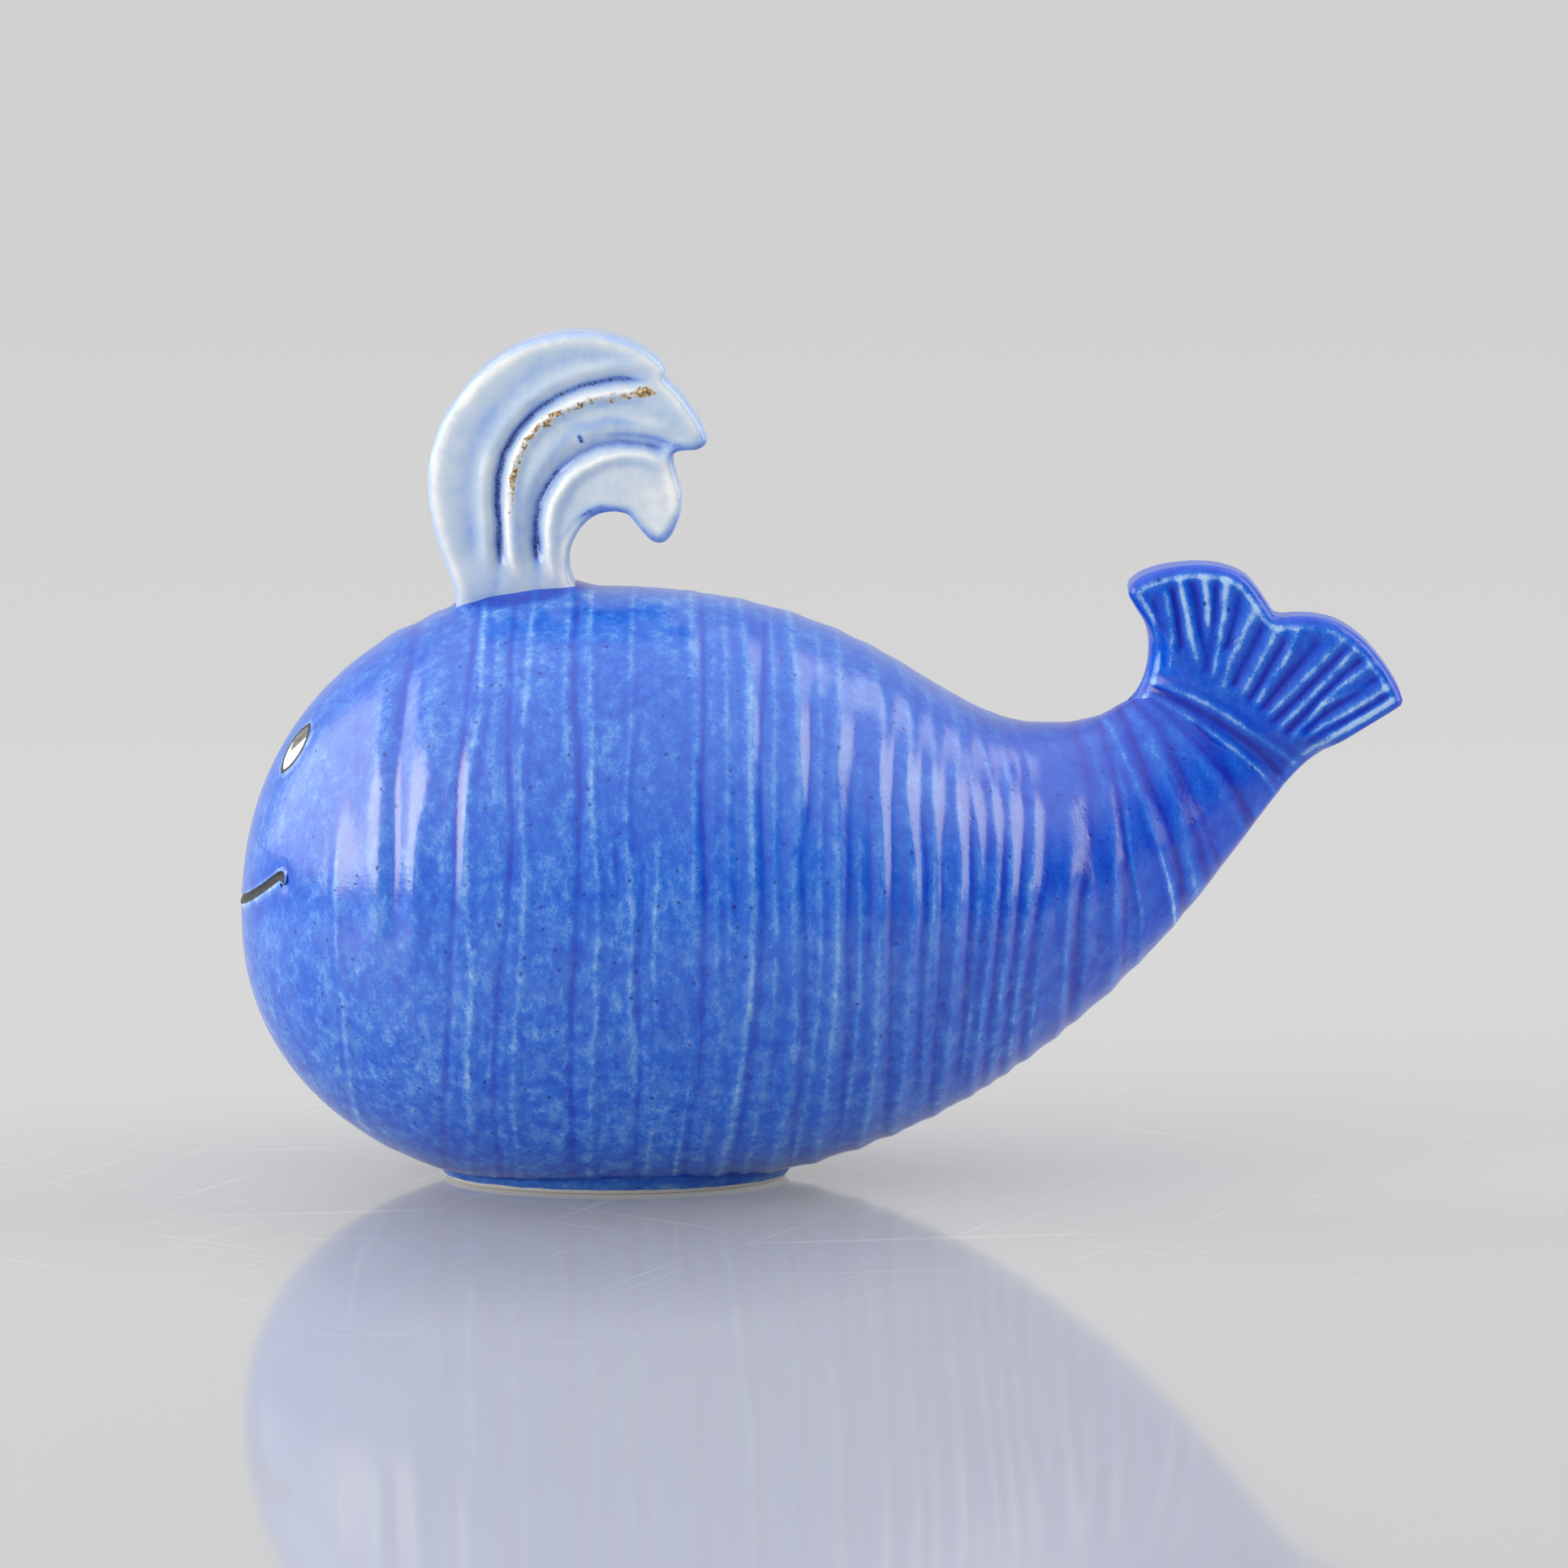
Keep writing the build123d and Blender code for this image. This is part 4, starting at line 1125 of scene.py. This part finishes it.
class Nodes:
    """A material's node tree, built a node at a time."""

    def __init__(self, name):
        self.material = bpy.data.materials.new(name)
        self.material.use_nodes = True
        self.tree = self.material.node_tree
        self.shader = self.tree.nodes["Principled BSDF"]
        self.coords = self.tree.nodes.new("ShaderNodeTexCoord").outputs["Object"]

    def link(self, value, socket):
        if isinstance(value, bpy.types.NodeSocket):
            self.tree.links.new(value, socket)
        else:
            socket.default_value = value

    def math(self, operation, a, b=0.0, c=0.0, clamp=False):
        node = self.tree.nodes.new("ShaderNodeMath")
        node.operation = operation
        node.use_clamp = clamp
        for value, socket in zip((a, b, c), node.inputs):
            self.link(value, socket)
        return node.outputs[0]

    def times(self, a, b):
        return self.math("MULTIPLY", a, b)

    def plus(self, value, other, share):
        """A value with a share of another added to it."""
        return self.math("MULTIPLY_ADD", other, share, value)

    def vary(self, value, noise, share):
        """A value raised where a noise is above its middle, and lowered where it is below."""
        return self.plus(value, self.math("SUBTRACT", noise, 0.5), share)

    def length(self, a, b):
        return self.math("SQRT", self.math("ADD", self.math("POWER", a, 2.0), self.math("POWER", b, 2.0)))

    def stretch(self, x, y, z):
        node = self.tree.nodes.new("ShaderNodeMapping")
        self.link(self.coords, node.inputs["Vector"])
        node.inputs["Scale"].default_value = (x, y, z)
        return node.outputs[0]

    def noise(self, scale, detail, rough, coords=None, distortion=0.0):
        node = self.tree.nodes.new("ShaderNodeTexNoise")
        self.link(coords or self.coords, node.inputs["Vector"])
        node.inputs["Scale"].default_value = scale
        node.inputs["Detail"].default_value = detail
        node.inputs["Roughness"].default_value = rough
        node.inputs["Distortion"].default_value = distortion
        return node.outputs["Fac"]

    def cells(self, scale):
        node = self.tree.nodes.new("ShaderNodeTexVoronoi")
        self.link(self.coords, node.inputs["Vector"])
        node.inputs["Scale"].default_value = scale
        return node.outputs["Distance"], node.outputs["Color"]

    def attribute(self, name):
        node = self.tree.nodes.new("ShaderNodeAttribute")
        node.attribute_name = name
        return node.outputs["Fac"]

    def axis(self, index):
        node = self.tree.nodes.new("ShaderNodeSeparateXYZ")
        self.link(self.coords, node.inputs[0])
        return node.outputs[index]

    def ramp(self, value, stops):
        node = self.tree.nodes.new("ShaderNodeValToRGB")
        self.link(value, node.inputs[0])
        elements = node.color_ramp.elements
        while len(elements) < len(stops):
            elements.new(0.5)
        for element, (position, colour) in zip(elements, stops):
            element.position = position
            element.color = colour
        return node.outputs[0]

    def span(self, value, low, high):
        """0 at low, 1 at high, smooth between."""
        node = self.tree.nodes.new("ShaderNodeMapRange")
        node.interpolation_type = "SMOOTHSTEP"
        self.link(value, node.inputs["Value"])
        node.inputs["From Min"].default_value = low
        node.inputs["From Max"].default_value = high
        return node.outputs["Result"]

    def mix(self, share, a, b):
        node = self.tree.nodes.new("ShaderNodeMix")
        node.data_type = "RGBA"
        self.link(share, node.inputs[0])
        self.link(a, node.inputs[6])
        self.link(b, node.inputs[7])
        return node.outputs[2]

    def bump(self, height, depth):
        node = self.tree.nodes.new("ShaderNodeBump")
        node.inputs["Strength"].default_value = 1.0
        node.inputs["Distance"].default_value = depth
        self.link(height, node.inputs["Height"])
        self.tree.links.new(node.outputs[0], self.shader.inputs["Normal"])

    def finish(self, colour, rough, ior):
        self.link(colour, self.shader.inputs["Base Color"])
        self.link(rough, self.shader.inputs["Roughness"])
        self.shader.inputs["IOR"].default_value = ior
        return self.material


def pinholes(n, scale, size, keep):
    """1 in the middle of scattered round dots, 0 elsewhere."""
    distance, colour = n.cells(scale)
    split = n.tree.nodes.new("ShaderNodeSeparateColor")
    n.link(colour, split.inputs[0])
    chosen = n.math("LESS_THAN", split.outputs[0], keep)
    reach = n.plus(size * 0.5, split.outputs[1], size * 0.8)
    fall = n.times(n.math("DIVIDE", distance, reach), 1.5)
    return n.times(n.math("SUBTRACT", 1.5, fall, clamp=True), chosen)


def blue_glaze():
    """Cobalt glaze that breaks pale on ridges, pools dark in grooves, and is mottled and pinholed."""
    n = Nodes("blue_glaze_breaking")
    along, height = n.axis(0), n.axis(2)
    low = n.span(height, 0.065, 0.012)
    cloud = n.noise(120, 3, 0.5, n.stretch(1.0, 0.8, 0.6))
    mottle = n.noise(520, 8, 0.78, n.stretch(1.0, 0.9, 0.7))
    grain = n.noise(3400, 2, 0.6)
    breaks = n.span(n.noise(110, 5, 0.7), 0.32, 0.66)
    tint = n.times(n.attribute("tint"), n.plus(0.6, breaks, 0.65))
    mottling = n.plus(n.plus(1.35, low, 0.5), n.span(along, 0.0, 0.03), -0.5)
    value = n.vary(0.47, cloud, 0.4)
    value = n.vary(value, mottle, mottling)
    value = n.vary(value, grain, 0.35)
    value = n.plus(value, tint, 0.4)
    front = n.ramp(value, shades((0.0, 0, 54, 178), (0.3, 4, 79, 196), (0.5, 26, 102, 207),
                                 (0.72, 90, 143, 217), (1.0, 172, 197, 230)))
    tail = n.ramp(value, shades((0.0, 0, 34, 162), (0.3, 0, 60, 187), (0.5, 0, 78, 198),
                                (0.72, 34, 107, 211), (1.0, 156, 190, 229)))
    colour = n.mix(n.span(along, 0.02, 0.07), front, tail)
    patches = n.span(n.noise(380, 8, 0.75, n.stretch(1.0, 0.9, 0.8)), 0.44, 0.68)
    colour = n.mix(n.times(patches, n.times(low, 0.36)), colour, linear(104, 154, 210))
    holes = pinholes(n, 500, 0.165, 0.8)
    colour = n.mix(n.times(holes, 0.9), colour, linear(0, 34, 146))
    specks = pinholes(n, 190, 0.05, 0.12)
    colour = n.mix(n.times(specks, 0.7), colour, linear(190, 208, 226))
    peel = n.plus(n.times(holes, -0.4), n.noise(700, 2, 0.5), 0.6)
    peel = n.plus(peel, n.noise(2700, 2, 0.55), 0.28)
    n.bump(peel, 0.00006)
    gloss = n.plus(0.5, n.span(along, 0.0, -0.03), 0.15)
    gloss = n.plus(gloss, low, -0.18)
    gloss = n.plus(gloss, n.span(along, 0.062, 0.078), -0.27)
    gloss = n.plus(gloss, n.span(along, 0.015, 0.035), 0.05)
    n.link(gloss, n.shader.inputs["Specular IOR Level"])
    n.shader.inputs["Specular Tint"].default_value = (1.0, 0.9, 0.5, 1)
    return n.finish(colour, n.plus(0.15, mottle, 0.12), 1.72)


def foot_glaze():
    """The same glaze, worn on the foot, over a bare clay rim."""
    n = Nodes("foot_glaze_and_clay")
    value = n.vary(0.5, n.noise(420, 6, 0.72), 1.5)
    value = n.plus(value, n.attribute("tint"), 0.5)
    glaze = n.ramp(value, shades((0.0, 4, 60, 172), (0.35, 28, 96, 200), (0.6, 70, 132, 212),
                                 (1.0, 190, 208, 228)))
    edge = n.vary(n.axis(2), n.noise(400, 3, 0.6), 0.0004)
    clay = n.mix(n.noise(900, 3, 0.6), linear(224, 217, 202), linear(248, 244, 234))
    glazed = n.span(edge, 0.00052, 0.00074)
    n.bump(n.noise(1800, 3, 0.6), 0.00004)
    return n.finish(n.mix(glazed, clay, glaze), n.plus(0.72, glazed, -0.5), 1.5)


def pale_glaze():
    """Pale blue glaze, white on the edges, dark-specked in the grooves, with a few rust specks."""
    n = Nodes("pale_glaze_breaking")
    cloud = n.noise(95, 4, 0.6, None, 0.3)
    mottle = n.noise(800, 5, 0.7)
    tint = n.attribute("tint")
    value = n.vary(0.645, cloud, 0.75)
    value = n.vary(value, mottle, 0.25)
    value = n.plus(value, tint, 0.4)
    colour = n.ramp(value, shades((0.0, 58, 88, 176), (0.2, 98, 132, 208), (0.42, 148, 174, 218),
                                  (0.62, 180, 198, 218), (0.82, 206, 214, 222), (1.0, 238, 238, 234)))
    deep = n.span(tint, -0.7, -1.25)
    dots = n.span(n.noise(2500, 3, 0.65), 0.5, 0.57)
    colour = n.mix(n.times(n.times(deep, dots), 0.85), colour, linear(26, 38, 76))
    rust = n.attribute("rust")
    flakes = n.plus(n.noise(1250, 5, 0.75), n.math("SUBTRACT", rust, 0.75), 0.22)
    flakes = n.times(n.span(flakes, 0.53, 0.58), n.span(rust, 0.2, 0.4))
    brown = n.ramp(n.noise(2400, 3, 0.6), shades((0.3, 30, 22, 14), (0.45, 110, 74, 30),
                                                 (0.56, 206, 164, 82), (0.7, 236, 220, 176)))
    colour = n.mix(n.math("MINIMUM", flakes, 0.9), colour, brown)
    n.bump(n.noise(800, 2, 0.5), 0.00005)
    return n.finish(colour, n.plus(0.12, mottle, 0.1), 1.55)


def enamel(name, dark, light, scale, rough):
    n = Nodes(name)
    colour = n.mix(n.span(n.noise(scale, 3, 0.6), 0.35, 0.65), dark, light)
    n.bump(n.noise(2400, 2, 0.5), 0.00002)
    return n.finish(colour, rough, 1.5)


def bare_clay():
    n = Nodes("bare_clay")
    colour = n.mix(n.noise(1200, 4, 0.6), linear(190, 180, 160), linear(232, 226, 210))
    n.bump(n.noise(2200, 3, 0.6), 0.00008)
    return n.finish(colour, 0.8, 1.45)


glaze = blue_glaze()
pale = pale_glaze()
skin = body_piece(glaze)
plume_piece(pale)
fluke_piece(glaze)
foot_piece(foot_glaze())
dark_line = enamel("dark_line_enamel", linear(20, 20, 24), linear(58, 58, 58), 1800, 0.5)
eye_white = enamel("white_enamel", linear(236, 236, 232), linear(252, 251, 248), 900, 0.2)
eye_pupil = enamel("pupil_enamel", linear(84, 80, 78), linear(128, 122, 118), 1500, 0.25)
for label, side in (("left", 1), ("right", -1)):
    white_piece(skin, label, side, eye_white)
    pupil_piece(skin, label, side, eye_pupil)
    eye_line_piece(skin, label, side, glaze, dark_line)
mouth_piece(skin, glaze, dark_line)
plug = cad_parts["base_plug"]
plug.data.materials.clear()
plug.data.materials.append(bare_clay())


# Table and backdrop: one sheet, swept up behind the whale

def fine_marks(n, turn, short, thin):
    """1 on thin scattered rubbing marks that run at a turn, in degrees, and 0 elsewhere."""
    node = n.tree.nodes.new("ShaderNodeMapping")
    node.vector_type = "TEXTURE"
    n.link(n.coords, node.inputs["Vector"])
    node.inputs["Rotation"].default_value = (0, 0, radians(turn))
    node.inputs["Scale"].default_value = (1 / short, 1 / thin, 1)
    return n.span(n.noise(1.0, 2, 0.5, node.outputs[0], 0.25), 0.64, 0.72)


def table_material():
    """A pale polished table that mirrors the whale, with a painted shadow round its foot, and runs into a
    plain backdrop behind it.
    """
    n = Nodes("pale_table")
    path = n.tree.nodes.new("ShaderNodeLightPath")
    seen = n.math("ADD", path.outputs["Is Camera Ray"], path.outputs["Is Glossy Ray"])
    seen = n.math("ADD", seen, path.outputs["Is Transmission Ray"], clamp=True)
    across, depth = n.axis(0), n.axis(1)
    reach = n.length(across, depth)
    near_colour = n.mix(n.span(reach, 0.06, 0.02), grey(0.3), (0.31, 0.3, 0.28, 1))
    colour = n.mix(seen, grey(0.68), near_colour)
    glow = n.mix(n.span(depth, -0.04, 0.0), grey(0.138), grey(0.178))
    # Painted shadow: the glow drops to a dim grey in an oval round the foot and in front of it, where the
    # whale stands
    painted_shadow_across = n.math("DIVIDE", n.math("ADD", across, 0.003), 0.042)
    painted_shadow_before = n.math("DIVIDE", n.math("ADD", depth, 0.052), 0.05)
    shade = n.length(painted_shadow_across, painted_shadow_before)
    glow = n.mix(n.span(shade, 1.4, 0.2), glow, grey(0.045))
    marks = n.math("ADD", fine_marks(n, 8, 11, 260), fine_marks(n, 62, 20, 700))
    marks = n.math("ADD", marks, fine_marks(n, -38, 17, 600))
    marks = n.times(marks, n.span(reach, 0.17, 0.06))
    glow = n.mix(n.times(marks, 0.1), glow, (0.6, 0.6, 0.58, 1))
    n.link(glow, n.shader.inputs["Emission Color"])
    n.link(seen, n.shader.inputs["Emission Strength"])
    n.link(n.plus(0.5, n.span(depth, -0.2, -0.04), 0.35), n.shader.inputs["Specular IOR Level"])
    n.finish(colour, 0.07, 1.26)
    backdrop = n.ramp(depth, [(0.0, grey(0.68)), (0.2, grey(0.69)), (0.35, grey(0.68)), (0.5, grey(0.662)),
                              (1.0, grey(0.637))])
    paper = n.tree.nodes.new("ShaderNodeEmission")
    n.link(backdrop, paper.inputs["Color"])
    blend = n.tree.nodes.new("ShaderNodeMixShader")
    n.link(n.times(n.span(depth, 0.02, 0.2), seen), blend.inputs[0])
    n.link(n.shader.outputs[0], blend.inputs[1])
    n.link(paper.outputs[0], blend.inputs[2])
    n.link(blend.outputs[0], n.tree.nodes["Material Output"].inputs["Surface"])
    return n.material


SHEET_HALF_WIDTH = 4000
SHEET_NEAR = -2600
SHEET_FAR = 1800
SHEET_HEIGHT = 2600
SWEEP_RADIUS = 500


def studio():
    line = [(SHEET_NEAR, 0.0)]
    for turn in np.linspace(0, pi / 2, 25):
        line.append((SHEET_FAR + SWEEP_RADIUS * sin(turn), SWEEP_RADIUS - SWEEP_RADIUS * cos(turn)))
    line.append((SHEET_FAR + SWEEP_RADIUS, SHEET_HEIGHT))
    points = [(x, y, z) for y, z in line for x in (-SHEET_HALF_WIDTH, SHEET_HALF_WIDTH)]
    faces = [(2 * i, 2 * i + 1, 2 * i + 3, 2 * i + 2) for i in range(len(line) - 1)]
    floor = make_mesh("table", points, faces)
    floor.data.materials.append(table_material())


LAMP_DISTANCE = 0.9
LAMP_TARGET = (0.02, 0, 0.045)
# Each lamp's middle and half spread round the whale, counted from the camera to the right, the heights of
# its lower and upper edge, all as angles in degrees seen from the whale, and its radiance
SOFT_BOXES = {
    "soft_box_left": (-63, 17, 3, 42, 4.9),
    "soft_box_left_back": (-104, 24, 3, 42, 1.7),
    "soft_box_right": (87, 20, 1, 52, 3.3),
    "soft_box_back": (130, 18, 42, 62, 1.6),
}
# The room: its level at the horizon and overhead, and a dim part to the right of the camera
ROOM_LOW = 0.37
ROOM_HIGH = 1.25
ROOM_HIGH_FROM = 0.95
DIM_AZIMUTH = radians(48)
DIM_SPAN = (0.6, 0.95)
DIM_LEVEL = 0.2


def soft_box(name, azimuth, spread, low, high, radiance):
    """An upright lamp that faces the whale."""
    turn = radians(azimuth)
    away = Vector((sin(turn), -cos(turn), 0))
    low, high = LAMP_DISTANCE * tan(radians(low)), LAMP_DISTANCE * tan(radians(high))
    lamp = bpy.data.lights.new(name, "AREA")
    lamp.shape = "RECTANGLE"
    lamp.size = 2 * LAMP_DISTANCE * tan(radians(spread))
    lamp.size_y = high - low
    lamp.energy = radiance * pi * lamp.size * lamp.size_y
    holder = bpy.data.objects.new(name, lamp)
    holder.location = Vector(LAMP_TARGET) + Vector((0, 0, (low + high) / 2)) + away * LAMP_DISTANCE
    holder.rotation_euler = away.to_track_quat("Z", "Y").to_euler()
    bpy.context.scene.collection.objects.link(holder)


def lights():
    for name, values in SOFT_BOXES.items():
        soft_box(name, *values)
    world = bpy.data.worlds.new("room")
    world.use_nodes = True
    tree = world.node_tree
    background = tree.nodes["Background"]
    direction = tree.nodes.new("ShaderNodeTexCoord").outputs["Generated"]
    split = tree.nodes.new("ShaderNodeSeparateXYZ")
    tree.links.new(direction, split.inputs[0])
    ramp = tree.nodes.new("ShaderNodeValToRGB")
    ramp.color_ramp.elements[0].color = grey(ROOM_LOW)
    ramp.color_ramp.elements[1].color = grey(ROOM_HIGH)
    ramp.color_ramp.elements[1].position = ROOM_HIGH_FROM
    tree.links.new(split.outputs[2], ramp.inputs[0])
    tree.links.new(ramp.outputs[0], background.inputs[0])
    facing = tree.nodes.new("ShaderNodeVectorMath")
    facing.operation = "DOT_PRODUCT"
    facing.inputs[1].default_value = (sin(DIM_AZIMUTH), -cos(DIM_AZIMUTH), 0)
    tree.links.new(direction, facing.inputs[0])
    dim = tree.nodes.new("ShaderNodeMapRange")
    dim.interpolation_type = "SMOOTHSTEP"
    dim.inputs["From Min"].default_value = DIM_SPAN[0]
    dim.inputs["From Max"].default_value = DIM_SPAN[1]
    dim.inputs["To Min"].default_value = 1.0
    dim.inputs["To Max"].default_value = DIM_LEVEL
    tree.links.new(facing.outputs["Value"], dim.inputs["Value"])
    tree.links.new(dim.outputs["Result"], background.inputs[1])
    bpy.context.scene.world = world


SENSOR_WIDTH = 36.0
CAMERA_RANGE = 50


def camera():
    lens = bpy.data.cameras.new("camera")
    frame_width = PIXEL * IMAGE_SIZE
    lens.sensor_width = SENSOR_WIDTH
    lens.lens = lens.sensor_width * VIEW_DISTANCE / frame_width
    lens.clip_end = CAMERA_RANGE
    middle = IMAGE_SIZE / 2
    height = (ORIGIN_PIXEL[1] - middle) * PIXEL / cos(VIEW_ELEVATION)
    target = np.array([(middle - ORIGIN_PIXEL[0]) * PIXEL, 0, height])
    away = np.array([0, -cos(VIEW_ELEVATION), sin(VIEW_ELEVATION)])
    holder = bpy.data.objects.new("camera", lens)
    holder.location = (target + away * VIEW_DISTANCE) * MM
    holder.rotation_euler = Vector(away).to_track_quat("Z", "Y").to_euler()
    bpy.context.scene.collection.objects.link(holder)
    bpy.context.scene.camera = holder


studio()
lights()
camera()
bpy.context.scene.view_settings.view_transform = "Standard"
